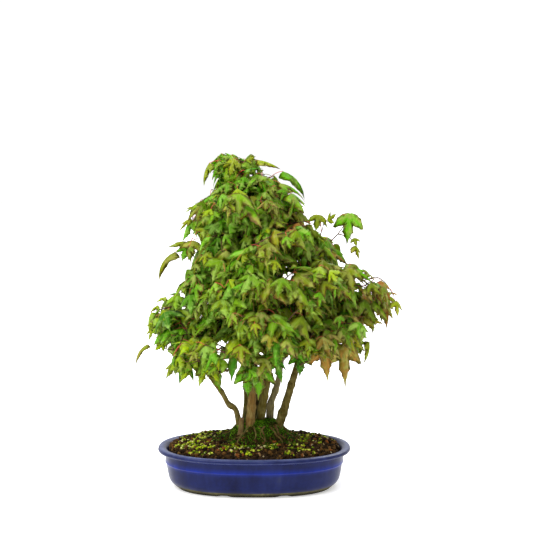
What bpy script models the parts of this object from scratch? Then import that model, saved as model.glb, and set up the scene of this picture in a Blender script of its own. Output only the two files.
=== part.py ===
"""Clump of seven small maples growing in a shallow oval glazed pot.

Metres, +Z up.  The pot stands on the plane z = 0 with its centre on the
z axis, its long side along X and its front towards -Y.  Every separate
piece of the object is one closed body with its own name and material.
"""
import math

import bpy
import numpy as np
from mathutils import Vector
from mathutils.bvhtree import BVHTree

# ---- pot -------------------------------------------------------------------
RIM_HALF_LENGTH = 0.150      # half the overall length, along X
RIM_HALF_DEPTH = 0.110       # half the overall depth, along Y
OVAL_POWER = 2.3             # 2 is a plain ellipse, more is squarer
POT_SIDES = 44               # flats round the oval
UNDERSIDE_HEIGHT = 0.003     # underside of the floor above the table
FLOOR_HEIGHT = 0.009         # upper face of the floor
FOOT_INSET = 0.0310          # outer edge of the foot ring, in from the rim
FOOT_WIDTH = 0.0130          # width of the foot ring
FOOT_NOTCH_WIDTH = 0.024     # gaps through the foot ring, for air and water
RIM_TOP = 0.0635
# outer face, foot to rim: (inset from the rim's outer edge, height)
POT_OUTSIDE = [
    (0.0290, 0.0020),
    (0.0250, 0.0050),
    (0.0205, 0.0095),
    (0.0172, 0.0150),
    (0.0150, 0.0240),
    (0.0134, 0.0340),
    (0.0124, 0.0385),
    (0.0106, 0.0402),
    (0.0110, 0.0425),
    (0.0112, 0.0500),
    (0.0096, 0.0562),
    (0.0030, 0.0568),
    (0.0004, 0.0582),
    (0.0000, 0.0600),
    (0.0012, 0.0622),
]
# rim and inner face, rim to floor
POT_INSIDE = [
    (0.0040, RIM_TOP),
    (0.0085, RIM_TOP),
    (0.0120, 0.0622),
    (0.0165, 0.0570),
    (0.0180, 0.0480),
    (0.0205, 0.0300),
    (0.0240, 0.0180),
    (0.0300, 0.0110),
    (0.0360, FLOOR_HEIGHT),
]
HOLE_X = 0.055               # each drain hole's centre from the pot's centre
HOLE_RADIUS = 0.011
SEAL_PAD_RADIUS = 0.012      # round pad in the middle of the underside, left blank
SEAL_PAD_RISE = 0.0006       # how far the pad stands out of the underside

# ---- drain mesh and its wire clip -------------------------------------------
FIT_GAP = 0.0003             # clearance between neighbouring pieces
MESH_HALF_WIDTH = 0.0150
MESH_THICKNESS = 0.0012
MESH_OPENINGS = 3            # openings along each side of the square
MESH_BAR = 0.0030            # width of the bars between the openings
CLIP_RADIUS = 0.0006
CLIP_HALF_SPAN = 0.0090
CLIP_TAIL = 0.0200

# ---- soil and mossy mound ----------------------------------------------------
SOIL_EDGE_HEIGHT = 0.0600
SOIL_RISE = 0.0135           # heap of the soil above its edge
SOIL_RISE_POWER = 6.0
SOIL_FLAT = 0.62             # share of the radius that is level, under the mound
SOIL_LUMP = 0.0012           # height of the lumps in the soil
MOUND_X = 0.005
MOUND_HEIGHT = 0.104
MOUND_SIDES = 28
# mound rings: (half length, half depth, height)
MOUND_RINGS = [
    (0.0660, 0.0560, 0.0742),
    (0.0620, 0.0530, 0.0765),
    (0.0520, 0.0460, 0.0840),
    (0.0430, 0.0390, 0.0935),
    (0.0350, 0.0320, 0.1005),
    (0.0200, 0.0190, MOUND_HEIGHT),
]
MOUND_LUMP = 0.0016

# ---- trees -------------------------------------------------------------------
TRUNK_SIDES = 8
BRANCH_SIDES = 5
BURIED = 0.012               # length of trunk set down in the mound
BRANCH_RADIUS = (0.0027, 0.0014)
BRANCH_STATIONS = 5
BRANCH_RISE = 0.45           # how steeply branches climb to their sprays
BRANCH_STAGGER = 0.0007      # scatter of the branch roots, so no two coincide
LOWEST_BRANCH = 0.150
TRUNK_FLARE = 1.12           # trunk's radius at the mound against its low radius
# each trunk: route as (x, y, z) in metres from the mound up, radius at each end
TREES = {
    "tree_front": ([(-0.006, -0.022, 0.100), (-0.004, -0.022, 0.132),
                    (-0.003, -0.020, 0.170), (-0.006, -0.016, 0.230),
                    (-0.010, -0.012, 0.300), (-0.013, -0.008, 0.380),
                    (-0.014, -0.004, 0.430), (-0.016, 0.000, 0.455)],
                   0.0085, 0.0022),
    "tree_left": ([(-0.024, -0.006, 0.100), (-0.029, -0.008, 0.121),
                   (-0.040, -0.010, 0.130), (-0.049, -0.012, 0.147),
                   (-0.066, -0.012, 0.171), (-0.085, -0.014, 0.202),
                   (-0.106, -0.014, 0.240), (-0.120, -0.010, 0.268)],
                  0.0052, 0.0022),
    "tree_back_left": ([(-0.014, 0.016, 0.100), (-0.012, 0.019, 0.140),
                        (-0.017, 0.024, 0.185), (-0.030, 0.032, 0.245),
                        (-0.042, 0.036, 0.315), (-0.048, 0.036, 0.375)],
                       0.0074, 0.0023),
    "tree_centre": ([(0.009, -0.003, 0.100), (0.016, -0.001, 0.145),
                     (0.021, 0.002, 0.172), (0.025, 0.008, 0.222),
                     (0.023, 0.014, 0.290), (0.024, 0.012, 0.340),
                     (0.025, 0.004, 0.385)],
                    0.0082, 0.0023),
    "tree_back": ([(0.006, 0.022, 0.100), (0.003, 0.026, 0.140),
                   (0.000, 0.036, 0.195), (0.002, 0.046, 0.262),
                   (0.006, 0.054, 0.315)],
                  0.0068, 0.0024),
    "tree_mid_right": ([(0.024, 0.010, 0.100), (0.026, 0.012, 0.128),
                        (0.032, 0.014, 0.144), (0.039, 0.018, 0.170),
                        (0.047, 0.022, 0.233), (0.062, 0.026, 0.290),
                        (0.080, 0.026, 0.340)],
                       0.0072, 0.0024),
    "tree_right": ([(0.038, -0.006, 0.097), (0.046, -0.008, 0.120),
                    (0.052, -0.008, 0.141), (0.060, -0.008, 0.168),
                    (0.072, -0.010, 0.208), (0.090, -0.012, 0.252),
                    (0.106, -0.012, 0.280), (0.116, -0.008, 0.294)],
                   0.0090, 0.0024),
}
STUMP_ROUTE = [(-0.0208, -0.026, 0.0890), (-0.0190, -0.027, 0.1120)]
STUMP_RADIUS = (0.0046, 0.0040)

# ---- leaf sprays -------------------------------------------------------------
# centre of each spray of leaves on its tree, metres
SPRAYS = {
    "tree_front": [(-0.024, 0.004, 0.534), (-0.057, 0.006, 0.494),
                   (0.024, -0.006, 0.510), (-0.015, -0.058, 0.452),
                   (-0.082, -0.006, 0.432), (-0.060, -0.066, 0.402),
                   (0.004, -0.098, 0.392), (-0.046, -0.108, 0.322),
                   (0.002, -0.122, 0.282), (-0.042, -0.110, 0.232),
                   (-0.004, -0.092, 0.196)],
    "tree_left": [(-0.154, 0.000, 0.276), (-0.118, -0.062, 0.252),
                  (-0.116, 0.058, 0.256), (-0.158, 0.004, 0.216),
                  (-0.098, -0.080, 0.206), (-0.066, -0.062, 0.176)],
    "tree_back_left": [(-0.010, 0.066, 0.448), (-0.052, 0.072, 0.404),
                       (-0.112, -0.004, 0.372), (-0.106, 0.048, 0.346),
                       (-0.088, -0.062, 0.336), (-0.050, 0.114, 0.318)],
    "tree_centre": [(0.048, 0.000, 0.452), (0.060, -0.046, 0.414),
                    (0.064, 0.050, 0.406), (0.012, 0.092, 0.384),
                    (0.052, -0.110, 0.340), (0.006, -0.120, 0.340)],
    "tree_back": [(0.044, 0.108, 0.322), (-0.002, 0.114, 0.246),
                  (-0.080, 0.088, 0.214)],
    "tree_mid_right": [(0.124, -0.004, 0.392), (0.096, 0.048, 0.366),
                       (0.094, -0.058, 0.360), (0.140, 0.060, 0.282),
                       (0.108, 0.076, 0.214)],
    "tree_right": [(0.170, -0.020, 0.322), (0.200, 0.012, 0.286),
                   (0.150, -0.070, 0.270), (0.160, -0.006, 0.228),
                   (0.122, -0.072, 0.204), (0.080, -0.104, 0.232),
                   (0.044, -0.118, 0.272)],
}
CANOPY_AXIS_X = 0.005        # sprays head outwards from this upright line
SPRAY_REACH = 0.042          # foot of a spray to the middle of its leaves
TWIG_SIDES = 4
TWIG_RADIUS = (0.0013, 0.0009)
TWIG_LENGTH = 0.040
TWIG_RISE = 0.25             # upward part of a twig's direction
CROWN_RADIUS = 0.060         # nearer the axis than this, twigs turn upwards
LEAF_LENGTH = 0.048
LEAF_HALF_WIDTH = 0.024
LEAF_HALF_THICKNESS = 0.0004
LEAF_FOLD = 0.35             # drop of the blade for each unit out from the midrib
LEAF_DROOP = 6.0             # curl of the blade towards its tip, per metre
# one edge of the blade: (share of the length, share of the half width)
LEAF_EDGE = [(0.04, 0.62), (0.48, 1.0), (0.44, 0.36)]
STALK_LEAN = 0.85            # lean of a leaf stalk along its blade
PETIOLE_LENGTH = 0.017
PETIOLE_HALF_WIDTH = 0.0007
PETIOLE_HALF_THICKNESS = 0.0008
# share of the twig's length where each leaf springs, and its side
LEAF_PLACES = [(0.36, -1), (0.50, 1), (0.78, -1), (0.97, 1)]
TRIES = 90
CLEARANCE = 0.0004
SEED = 11

# name: (colour, roughness)
MATERIALS = {
    "glazed_clay": ((0.030, 0.040, 0.200), 0.25),
    "mesh_plastic": ((0.050, 0.070, 0.050), 0.60),
    "clip_wire": ((0.500, 0.480, 0.460), 0.40),
    "soil_granules": ((0.070, 0.045, 0.028), 0.95),
    "moss": ((0.060, 0.130, 0.020), 0.95),
    "bark": ((0.170, 0.120, 0.075), 0.85),
    "leaf": ((0.130, 0.300, 0.050), 0.50),
}

for old in list(bpy.data.objects):
    bpy.data.objects.remove(old, do_unlink=True)

rng = np.random.default_rng(SEED)
materials = {}


def make_material(key):
    """Principled material of one of the named finishes, made once."""
    if key not in materials:
        colour, roughness = MATERIALS[key]
        made = bpy.data.materials.new(key)
        made.use_nodes = True
        shader = made.node_tree.nodes["Principled BSDF"]
        shader.inputs["Base Color"].default_value = (*colour, 1.0)
        shader.inputs["Roughness"].default_value = roughness
        shader.inputs["Metallic"].default_value = 1.0 if key == "clip_wire" else 0.0
        materials[key] = made
    return materials[key]


def make_object(name, verts, faces, key):
    """A mesh object at the origin holding the given points and faces."""
    mesh = bpy.data.meshes.new(name)
    mesh.from_pydata([tuple(map(float, v)) for v in verts], [], faces)
    mesh.update()
    mesh.materials.append(make_material(key))
    made = bpy.data.objects.new(name, mesh)
    bpy.context.scene.collection.objects.link(made)
    return made


def combine(target, tool, operation):
    """Exact Boolean of two objects; the tool object is used up."""
    step = target.modifiers.new("combine", "BOOLEAN")
    step.operation = operation
    step.solver = "EXACT"
    step.object = tool
    graph = bpy.context.evaluated_depsgraph_get()
    result = bpy.data.meshes.new_from_object(target.evaluated_get(graph))
    target.modifiers.clear()
    target.data = result
    key = target.material_slots[0].material
    result.materials.clear()
    result.materials.append(key)
    bpy.data.objects.remove(tool, do_unlink=True)


def oval(half_x, half_y, z, sides, power, centre=(0.0, 0.0)):
    """Ring |x/a|^p + |y/b|^p = 1 at height z, anticlockwise from +X."""
    angle = np.arange(sides) * 2.0 * math.pi / sides
    c = np.cos(angle)
    s = np.sin(angle)
    x = np.sign(c) * np.abs(c) ** (2.0 / power) * half_x + centre[0]
    y = np.sign(s) * np.abs(s) ** (2.0 / power) * half_y + centre[1]
    return np.stack([x, y, np.full(sides, z)], axis=1)


def loft(rings):
    """Closed skin through equal rings, with a flat cap on each end."""
    sides = len(rings[0])
    verts = np.concatenate(rings)
    faces = [list(range(sides))[::-1]]
    for level in range(len(rings) - 1):
        low = level * sides
        for i in range(sides):
            j = (i + 1) % sides
            faces.append([low + i, low + j, low + sides + j, low + sides + i])
    last = (len(rings) - 1) * sides
    faces.append([last + i for i in range(sides)])
    return verts, faces


def tube(path, radii, sides):
    """Round rod along a path: rings square to the path's direction."""
    path = np.asarray(path, float)
    tangent = np.gradient(path, axis=0)
    tangent /= np.linalg.norm(tangent, axis=1)[:, None]
    side = np.cross(tangent[0], [0.31, 0.87, 0.38])
    rings = []
    for point, along, radius in zip(path, tangent, radii):
        side = side - along * (side @ along)
        side /= np.linalg.norm(side)
        up = np.cross(along, side)
        angle = np.arange(sides) * 2.0 * math.pi / sides
        spread = np.outer(np.cos(angle), side) + np.outer(np.sin(angle), up)
        rings.append(point + radius * spread)
    return loft(rings)


def smooth_route(points, per_span):
    """Catmull-Rom curve through the points, per_span steps between each."""
    p = np.asarray(points, float)
    p = np.vstack([2 * p[0] - p[1], p, 2 * p[-1] - p[-2]])
    out = []
    for i in range(1, len(p) - 2):
        for t in np.arange(per_span) / per_span:
            out.append(0.5 * ((2 * p[i]) + (p[i + 1] - p[i - 1]) * t
                              + (2 * p[i - 1] - 5 * p[i] + 4 * p[i + 1] - p[i + 2]) * t * t
                              + (3 * p[i] - p[i - 1] - 3 * p[i + 1] + p[i + 2]) * t ** 3))
    out.append(p[-2])
    return np.array(out)


def box(low, high):
    """Points and faces of a box between two corners."""
    x0, y0, z0 = low
    x1, y1, z1 = high
    ring = [(x0, y0), (x1, y0), (x1, y1), (x0, y1)]
    return loft([np.array([(x, y, z0) for x, y in ring]),
                 np.array([(x, y, z1) for x, y in ring])])


# ---- pot: one clay shell with foot ring, rolled rim and two drain holes ---------
def pot_ring(inset, z):
    """The pot's oval, set in from the rim's outer edge by inset."""
    return oval(RIM_HALF_LENGTH - inset, RIM_HALF_DEPTH - inset, z, POT_SIDES, OVAL_POWER)


foot_inner = FOOT_INSET + FOOT_WIDTH
profile = [(foot_inner + 0.001, UNDERSIDE_HEIGHT), (foot_inner, 0.0), (FOOT_INSET, 0.0)]
profile += POT_OUTSIDE + POT_INSIDE
pot = make_object("pot", *loft([pot_ring(*step) for step in profile]), "glazed_clay")
for x in (-HOLE_X, HOLE_X):
    through = tube([(x, 0.0, -0.01), (x, 0.0, 0.02)], [HOLE_RADIUS] * 2, 20)
    combine(pot, make_object("hole", *through, "glazed_clay"), "DIFFERENCE")
pad_rings = [(0.0, 0.0, UNDERSIDE_HEIGHT - SEAL_PAD_RISE), (0.0, 0.0, UNDERSIDE_HEIGHT + 0.002)]
pad = tube(pad_rings, [SEAL_PAD_RADIUS] * 2, 24)
combine(pot, make_object("pad", *pad, "glazed_clay"), "UNION")
half_notch = FOOT_NOTCH_WIDTH / 2.0
for x, y in ((-0.045, -0.08), (0.045, -0.08), (-0.045, 0.08), (0.045, 0.08)):
    notch = box((x - half_notch, y - 0.03, -0.01), (x + half_notch, y + 0.03, 0.0022))
    combine(pot, make_object("notch", *notch, "glazed_clay"), "DIFFERENCE")


# ---- drain mesh: a square of plastic netting over each hole ----------------------
def netting(x_centre, bottom):
    """Square plate with a grid of square openings right through it."""
    count = 2 * MESH_OPENINGS + 1
    opening = (2.0 * MESH_HALF_WIDTH - (MESH_OPENINGS + 1) * MESH_BAR) / MESH_OPENINGS
    steps = [MESH_BAR if i % 2 == 0 else opening for i in range(count)]
    line = np.concatenate([[0.0], np.cumsum(steps)]) - MESH_HALF_WIDTH
    size = count + 1
    verts = []
    for z in (bottom, bottom + MESH_THICKNESS):
        for y in line:
            for x in line:
                verts.append((x + x_centre, y, z))
    solid = [[not (i % 2 == 1 and j % 2 == 1) for i in range(count)] for j in range(count)]
    top = size * size
    faces = []
    for j in range(count):
        for i in range(count):
            if not solid[j][i]:
                continue
            a, b = j * size + i, j * size + i + 1
            c, d = (j + 1) * size + i + 1, (j + 1) * size + i
            faces.append([d, c, b, a])
            faces.append([top + a, top + b, top + c, top + d])
            for di, dj, p, q in ((0, -1, a, b), (1, 0, b, c), (0, 1, c, d), (-1, 0, d, a)):
                ni, nj = i + di, j + dj
                inside = 0 <= ni < count and 0 <= nj < count
                if not (inside and solid[nj][ni]):
                    faces.append([p, q, top + q, top + p])
    return verts, faces


mesh_bottom = FLOOR_HEIGHT + FIT_GAP
mesh_top = mesh_bottom + MESH_THICKNESS
clip_top = mesh_top + FIT_GAP + CLIP_RADIUS
clip_low = UNDERSIDE_HEIGHT - FIT_GAP - CLIP_RADIUS
for label, x in (("left", -HOLE_X), ("right", HOLE_X)):
    make_object("drain_mesh_" + label, *netting(x, mesh_bottom), "mesh_plastic")
    # wire clip: bar over the netting, legs down the hole, tails bent out below
    route = [(x - CLIP_TAIL, 0.0, clip_low), (x - CLIP_HALF_SPAN - 0.001, 0.0, clip_low),
             (x - CLIP_HALF_SPAN, 0.0, clip_low + 0.001),
             (x - CLIP_HALF_SPAN, 0.0, clip_top - 0.001),
             (x - CLIP_HALF_SPAN + 0.001, 0.0, clip_top),
             (x + CLIP_HALF_SPAN - 0.001, 0.0, clip_top),
             (x + CLIP_HALF_SPAN, 0.0, clip_top - 0.001),
             (x + CLIP_HALF_SPAN, 0.0, clip_low + 0.001),
             (x + CLIP_HALF_SPAN + 0.001, 0.0, clip_low), (x + CLIP_TAIL, 0.0, clip_low)]
    make_object("mesh_clip_" + label, *tube(route, [CLIP_RADIUS] * len(route), 6), "clip_wire")


# ---- soil: fills the pot to the rim and is heaped towards the middle --------------
def soil_height(share):
    """Edge height + rise * (1 - share^power); level under the mound."""
    level = max(share, SOIL_FLAT)
    return SOIL_EDGE_HEIGHT + SOIL_RISE * (1.0 - level ** SOIL_RISE_POWER)


soil_rings = []
for inset, z in reversed(POT_INSIDE[3:]):
    soil_rings.append(pot_ring(inset + FIT_GAP * 1.5, z + (FIT_GAP if z == FLOOR_HEIGHT else 0.0)))
top_inset = POT_INSIDE[3][0] - 0.0025
soil_rings.append(pot_ring(top_inset + FIT_GAP * 1.5, SOIL_EDGE_HEIGHT))
for share in (0.96, 0.90, 0.82, 0.72, SOIL_FLAT):
    half_x = (RIM_HALF_LENGTH - top_inset) * share
    half_y = (RIM_HALF_DEPTH - top_inset) * share
    ring = oval(half_x, half_y, soil_height(share), POT_SIDES, OVAL_POWER)
    if share != SOIL_FLAT:
        ring[:, 2] += rng.uniform(-SOIL_LUMP, SOIL_LUMP, POT_SIDES)
    soil_rings.append(ring)
soil = make_object("soil", *loft(soil_rings), "soil_granules")
for x in (-HOLE_X, HOLE_X):
    half = MESH_HALF_WIDTH + FIT_GAP
    pocket = box((x - half, -half, 0.0), (x + half, half, clip_top + CLIP_RADIUS + FIT_GAP))
    combine(soil, make_object("pocket", *pocket, "soil_granules"), "DIFFERENCE")


# ---- mossy mound of soil and roots the trunks stand in ----------------------------
mound_rings = []
for level, (half_x, half_y, z) in enumerate(MOUND_RINGS):
    ring = oval(half_x, half_y, z, MOUND_SIDES, 2.0, (MOUND_X, 0.0))
    if level:
        ring[:, :2] += rng.uniform(-MOUND_LUMP, MOUND_LUMP, (MOUND_SIDES, 2))
    mound_rings.append(ring)
mound = make_object("moss_mound", *loft(mound_rings), "moss")


def trunk_parts(route, low, high, grow):
    """Line and radii of a trunk with its buried foot; grow makes its socket."""
    line = np.asarray(route, float)
    down = line[0] - line[1]
    foot = line[0] + down / np.linalg.norm(down) * (BURIED + grow)
    line = np.vstack([foot, line])
    share = np.linspace(0.0, 1.0, len(line))
    radii = high + (low - high) * (1.0 - share) ** 0.8
    radii[:2] = low * TRUNK_FLARE
    return line, radii + grow


for name, (route, low, high) in TREES.items():
    line, radii = trunk_parts(route, low, high, FIT_GAP)
    socket = tube(line[:3], radii[:3], TRUNK_SIDES)
    combine(mound, make_object("socket", *socket, "moss"), "DIFFERENCE")
socket = tube(*trunk_parts(STUMP_ROUTE, *STUMP_RADIUS, FIT_GAP), TRUNK_SIDES)
combine(mound, make_object("socket", *socket, "moss"), "DIFFERENCE")
stump = tube(*trunk_parts(STUMP_ROUTE, *STUMP_RADIUS, 0.0), TRUNK_SIDES)
make_object("cut_stump", *stump, "bark")


# ---- trunks, each with a branch out to every one of its sprays ---------------------
def search_tree(solid):
    """Search tree of a solid's faces, for finding crossings."""
    verts, faces = solid
    return BVHTree.FromPolygons([Vector(v) for v in verts], faces)


trunks = {}
placed = []                  # (node name, search tree) of every solid placed so far
for name, (route, low, high) in TREES.items():
    line, radii = trunk_parts(route, low, high, 0.0)
    trunks[name] = make_object(name, *tube(line, radii, TRUNK_SIDES), "bark")
    placed.append((name, search_tree(tube(line, radii + CLEARANCE, TRUNK_SIDES))))


def is_clear(solid, own):
    """True when a solid crosses nothing placed so far but its own node."""
    search = search_tree(solid)
    return not any(name != own and search.overlap(other) for name, other in placed)


def unit(vector):
    """The vector scaled to length one."""
    vector = np.asarray(vector, float)
    return vector / np.linalg.norm(vector)


def branch_line(tree, end, heading, bend):
    """Curve from the trunk to a spray's foot, leaving along the trunk's rise.

    Bezier: (1-t)^3 p0 + 3(1-t)^2 t p1 + 3(1-t) t^2 p2 + t^3 p3.
    """
    route = smooth_route(TREES[tree][0], 6)
    reach = np.linalg.norm((route - end)[:, :2], axis=1)
    miss = np.abs(route[:, 2] - (end[2] - BRANCH_RISE * reach))
    miss[route[:, 2] < LOWEST_BRANCH] = math.inf
    at = min(int(np.argmin(miss)), len(route) - 3)
    start = route[at]
    span = np.linalg.norm(end - start)
    along = unit(route[at + 1] - route[at - 1])
    first = start + (along * 0.20 + unit(end - start) * 0.18 + bend) * span
    second = end + (bend * 0.5 - heading * 0.30) * span
    t = np.linspace(0.0, 1.0, BRANCH_STATIONS)[:, None]
    return ((1 - t) ** 3 * start + 3 * (1 - t) ** 2 * t * first
            + 3 * (1 - t) * t ** 2 * second + t ** 3 * end)


sprays = []                  # (tree, node name, foot, direction at the foot, heading)
for tree, centres in SPRAYS.items():
    for number, centre in enumerate(centres, 1):
        outward = np.array([centre[0] - CANOPY_AXIS_X, centre[1], 0.0])
        near = max(0.0, 1.0 - np.linalg.norm(outward) / CROWN_RADIUS)
        outward /= max(np.linalg.norm(outward), CROWN_RADIUS)
        heading = unit(outward + [0.0, 0.0, TWIG_RISE + near])
        foot = np.array(centre) - heading * SPRAY_REACH
        radii = np.linspace(*BRANCH_RADIUS, BRANCH_STATIONS)
        label = tree.replace("tree_", "leaves_") + "_%d" % number
        for attempt in range(TRIES):
            bend = rng.normal(0.0, 0.01 + 0.008 * attempt, 3)
            line = branch_line(tree, foot, heading, bend)
            line[0] += rng.uniform(-BRANCH_STAGGER, BRANCH_STAGGER, 3)
            grown = tube(line, radii + CLEARANCE, BRANCH_SIDES)
            tip = tube(line[-2:], radii[-2:] + CLEARANCE, BRANCH_SIDES)
            if is_clear(grown, tree) and is_clear(tip, None):
                break
        else:
            print("no clear way for the branch of", label)
        placed.append((tree, search_tree(grown)))
        branch = make_object("branch", *tube(line, radii, BRANCH_SIDES), "bark")
        combine(trunks[tree], branch, "UNION")
        sprays.append((tree, label, foot, unit(line[-1] - line[-2]), heading))


# ---- sprays: a twig with its leaves, each one closed body --------------------------
def leaf_solid(foot, tip_way, normal, scale, grow):
    """Stalk and three-lobed blade as one thin closed plate.

    Points are base + u*tip + v*width - (fold*|v| + droop*u^2)*normal.
    """
    width_way = np.cross(normal, tip_way)
    stalk_way = unit(tip_way * STALK_LEAN + normal)
    base = foot + stalk_way * PETIOLE_LENGTH * scale

    def blade(u, v):
        u = u * LEAF_LENGTH * scale
        v = v * LEAF_HALF_WIDTH * scale
        return (base + u * tip_way + v * width_way
                - (LEAF_FOLD * abs(v) + LEAF_DROOP * u * u) * normal)

    neck = PETIOLE_HALF_WIDTH / (LEAF_HALF_WIDTH * scale)
    start = foot - stalk_way * PETIOLE_HALF_WIDTH
    points = []
    for hand in (1, -1):
        points.append(start + hand * width_way * PETIOLE_HALF_WIDTH)
        points.append(blade(0.0, hand * neck))
        points += [blade(u, hand * v) for u, v in LEAF_EDGE]
    points += [blade(LEAF_EDGE[-1][0], 0.0), blade(1.0, 0.0)]
    points = np.array(points)
    half = np.full(len(points), LEAF_HALF_THICKNESS + grow)
    half[[0, 5]] = PETIOLE_HALF_THICKNESS + grow
    top = points + half[:, None] * normal
    low = points - half[:, None] * normal
    # 0-4 left edge from the stalk, 5-9 right edge, 10 on the midrib, 11 the tip
    skin = [[5, 6, 1, 0], [6, 10, 1], [1, 10, 4], [1, 4, 3], [1, 3, 2], [10, 11, 4],
            [6, 9, 10], [6, 8, 9], [6, 7, 8], [10, 9, 11]]
    edge = [5, 6, 7, 8, 9, 11, 4, 3, 2, 1, 0]
    count = len(points)
    faces = list(skin) + [[count + i for i in face[::-1]] for face in skin]
    for a, b in zip(edge, edge[1:] + edge[:1]):
        faces.append([count + a, count + b, b, a])
    return np.vstack([top, low]), faces


def twig_line(foot, start_way, heading):
    """Short curve from the branch end, leaving it straight, then towards heading."""
    start = foot + start_way * FIT_GAP
    knee = start + start_way * TWIG_LENGTH * 0.4
    end = start + (start_way * 0.5 + heading * 0.5 - np.array([0.0, 0.0, 0.12])) * TWIG_LENGTH
    t = np.array([0.0, 0.25, 0.60, 1.0])[:, None]
    return (1 - t) ** 2 * start + 2 * (1 - t) * t * knee + t ** 2 * end


def leaf_ways(heading, side, spread):
    """Tip direction and blade normal of a leaf hanging out to one side."""
    level = unit([heading[0], heading[1], 0.0])
    across = np.array([-level[1], level[0], 0.0])
    outward = unit(level * (0.6 if side else 1.0) + side * 0.85 * across)
    tip_way = unit(outward * 0.80 - np.array([0.0, 0.0, 0.75]) + rng.normal(0.0, spread, 3))
    normal = outward * 0.6 + np.array([0.0, 0.0, 0.8]) + rng.normal(0.0, spread, 3)
    return tip_way, unit(normal - tip_way * (normal @ tip_way))


leaf_count = 0
for tree, label, foot, start_way, heading in sprays:
    for attempt in range(TRIES):
        turned = unit(heading + rng.normal(0.0, 0.03 * attempt, 3))
        line = twig_line(foot, start_way, turned)
        radii = np.linspace(*TWIG_RADIUS, len(line))
        whole = tube(line, radii + CLEARANCE, TWIG_SIDES)
        beyond = tube(line[1:], radii[1:] + CLEARANCE, TWIG_SIDES)
        if is_clear(whole, tree) and is_clear(beyond, label):
            break
    else:
        print("no clear way for the twig of", label)
    placed.append((label, search_tree(tube(line, radii + CLEARANCE, TWIG_SIDES))))
    spray = make_object(label, *tube(line, radii, TWIG_SIDES), "leaf")
    verts = []
    faces = []
    for share, side in LEAF_PLACES:
        at = np.array([np.interp(share, [0.0, 0.25, 0.60, 1.0], line[:, k]) for k in range(3)])
        for attempt in range(TRIES):
            ways = leaf_ways(turned, side, 0.05 + 0.010 * attempt)
            scale = rng.uniform(0.80, 1.10) - 0.006 * attempt
            grown = leaf_solid(at, *ways, scale, CLEARANCE)
            if is_clear(grown, label) and not any(
                    search_tree(grown).overlap(other) for name, other in placed
                    if name == label + " leaf"):
                break
        else:
            continue
        placed.append((label + " leaf", search_tree(grown)))
        points, skin = leaf_solid(at, *ways, scale, 0.0)
        faces += [[i + sum(len(v) for v in verts) for i in face] for face in skin]
        verts.append(points)
        leaf_count += 1
    leaves = make_object("leaves", np.concatenate(verts), faces, "leaf")
    combine(spray, leaves, "UNION")
print("leaves placed:", leaf_count)
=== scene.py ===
"""Clump of small maples in an oval blue pot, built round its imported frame."""
import math

import bpy
import numpy as np
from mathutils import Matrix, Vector


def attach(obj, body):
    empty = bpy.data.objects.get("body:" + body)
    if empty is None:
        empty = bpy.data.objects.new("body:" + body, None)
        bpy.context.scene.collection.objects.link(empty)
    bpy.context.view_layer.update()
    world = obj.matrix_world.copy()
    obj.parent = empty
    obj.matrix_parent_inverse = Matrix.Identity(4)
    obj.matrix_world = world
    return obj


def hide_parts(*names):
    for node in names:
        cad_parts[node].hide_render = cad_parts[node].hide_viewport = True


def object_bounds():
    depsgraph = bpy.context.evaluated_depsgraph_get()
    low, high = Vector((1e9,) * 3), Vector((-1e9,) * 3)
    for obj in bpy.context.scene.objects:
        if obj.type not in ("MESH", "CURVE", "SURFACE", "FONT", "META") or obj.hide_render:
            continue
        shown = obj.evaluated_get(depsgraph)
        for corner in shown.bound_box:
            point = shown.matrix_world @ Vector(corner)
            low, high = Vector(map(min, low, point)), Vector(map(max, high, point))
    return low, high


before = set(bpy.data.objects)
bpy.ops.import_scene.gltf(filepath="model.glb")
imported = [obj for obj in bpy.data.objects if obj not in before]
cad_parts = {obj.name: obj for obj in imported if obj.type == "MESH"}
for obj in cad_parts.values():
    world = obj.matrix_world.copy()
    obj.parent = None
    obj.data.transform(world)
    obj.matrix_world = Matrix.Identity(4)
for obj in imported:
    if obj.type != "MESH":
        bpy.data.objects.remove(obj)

cad_box = [list(map(float, corner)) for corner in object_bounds()]
rng = np.random.default_rng(20)

# ---- studio -------------------------------------------------------------------
# The pot stands on a plain white table, seen from a little above through a long
# lens.  A broad soft light hangs over it and two softer ones fill the sides.
CAMERA_PLACE = (0.019, -2.200, 0.560)
CAMERA_AIM = (0.019, 0.0, 0.3430)
scene = bpy.context.scene
scene.view_settings.view_transform = "Standard"
lens = bpy.data.cameras.new("camera")
lens.lens = 96.84
lens.sensor_width = 36.0
lens.clip_start = 0.05
camera = bpy.data.objects.new("camera", lens)
camera.location = CAMERA_PLACE
aim = Vector(CAMERA_AIM) - Vector(CAMERA_PLACE)
camera.rotation_euler = aim.to_track_quat("-Z", "Y").to_euler()
scene.collection.objects.link(camera)
scene.camera = camera

# the sun lamp is a very broad one, as a white ceiling would be
sun = bpy.data.lights.new("light_ceiling", "SUN")
sun.energy = 2.7
sun.angle = math.radians(55.0)
ceiling = bpy.data.objects.new("light_ceiling", sun)
ceiling.rotation_euler = Vector((0.32, 0.48, -1.5)).to_track_quat("-Z", "Y").to_euler()
scene.collection.objects.link(ceiling)
for name, place, size, power in (("light_left", (-1.6, -1.5, 1.3), 0.9, 16.0),
                                 ("light_back", (0.5, 1.6, 1.5), 1.0, 14.0)):
    lamp = bpy.data.lights.new(name, "AREA")
    lamp.energy = power
    lamp.size = size
    bulb = bpy.data.objects.new(name, lamp)
    bulb.location = place
    turn = Vector((0.0, 0.0, 0.25)) - Vector(place)
    bulb.rotation_euler = turn.to_track_quat("-Z", "Y").to_euler()
    scene.collection.objects.link(bulb)

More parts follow.
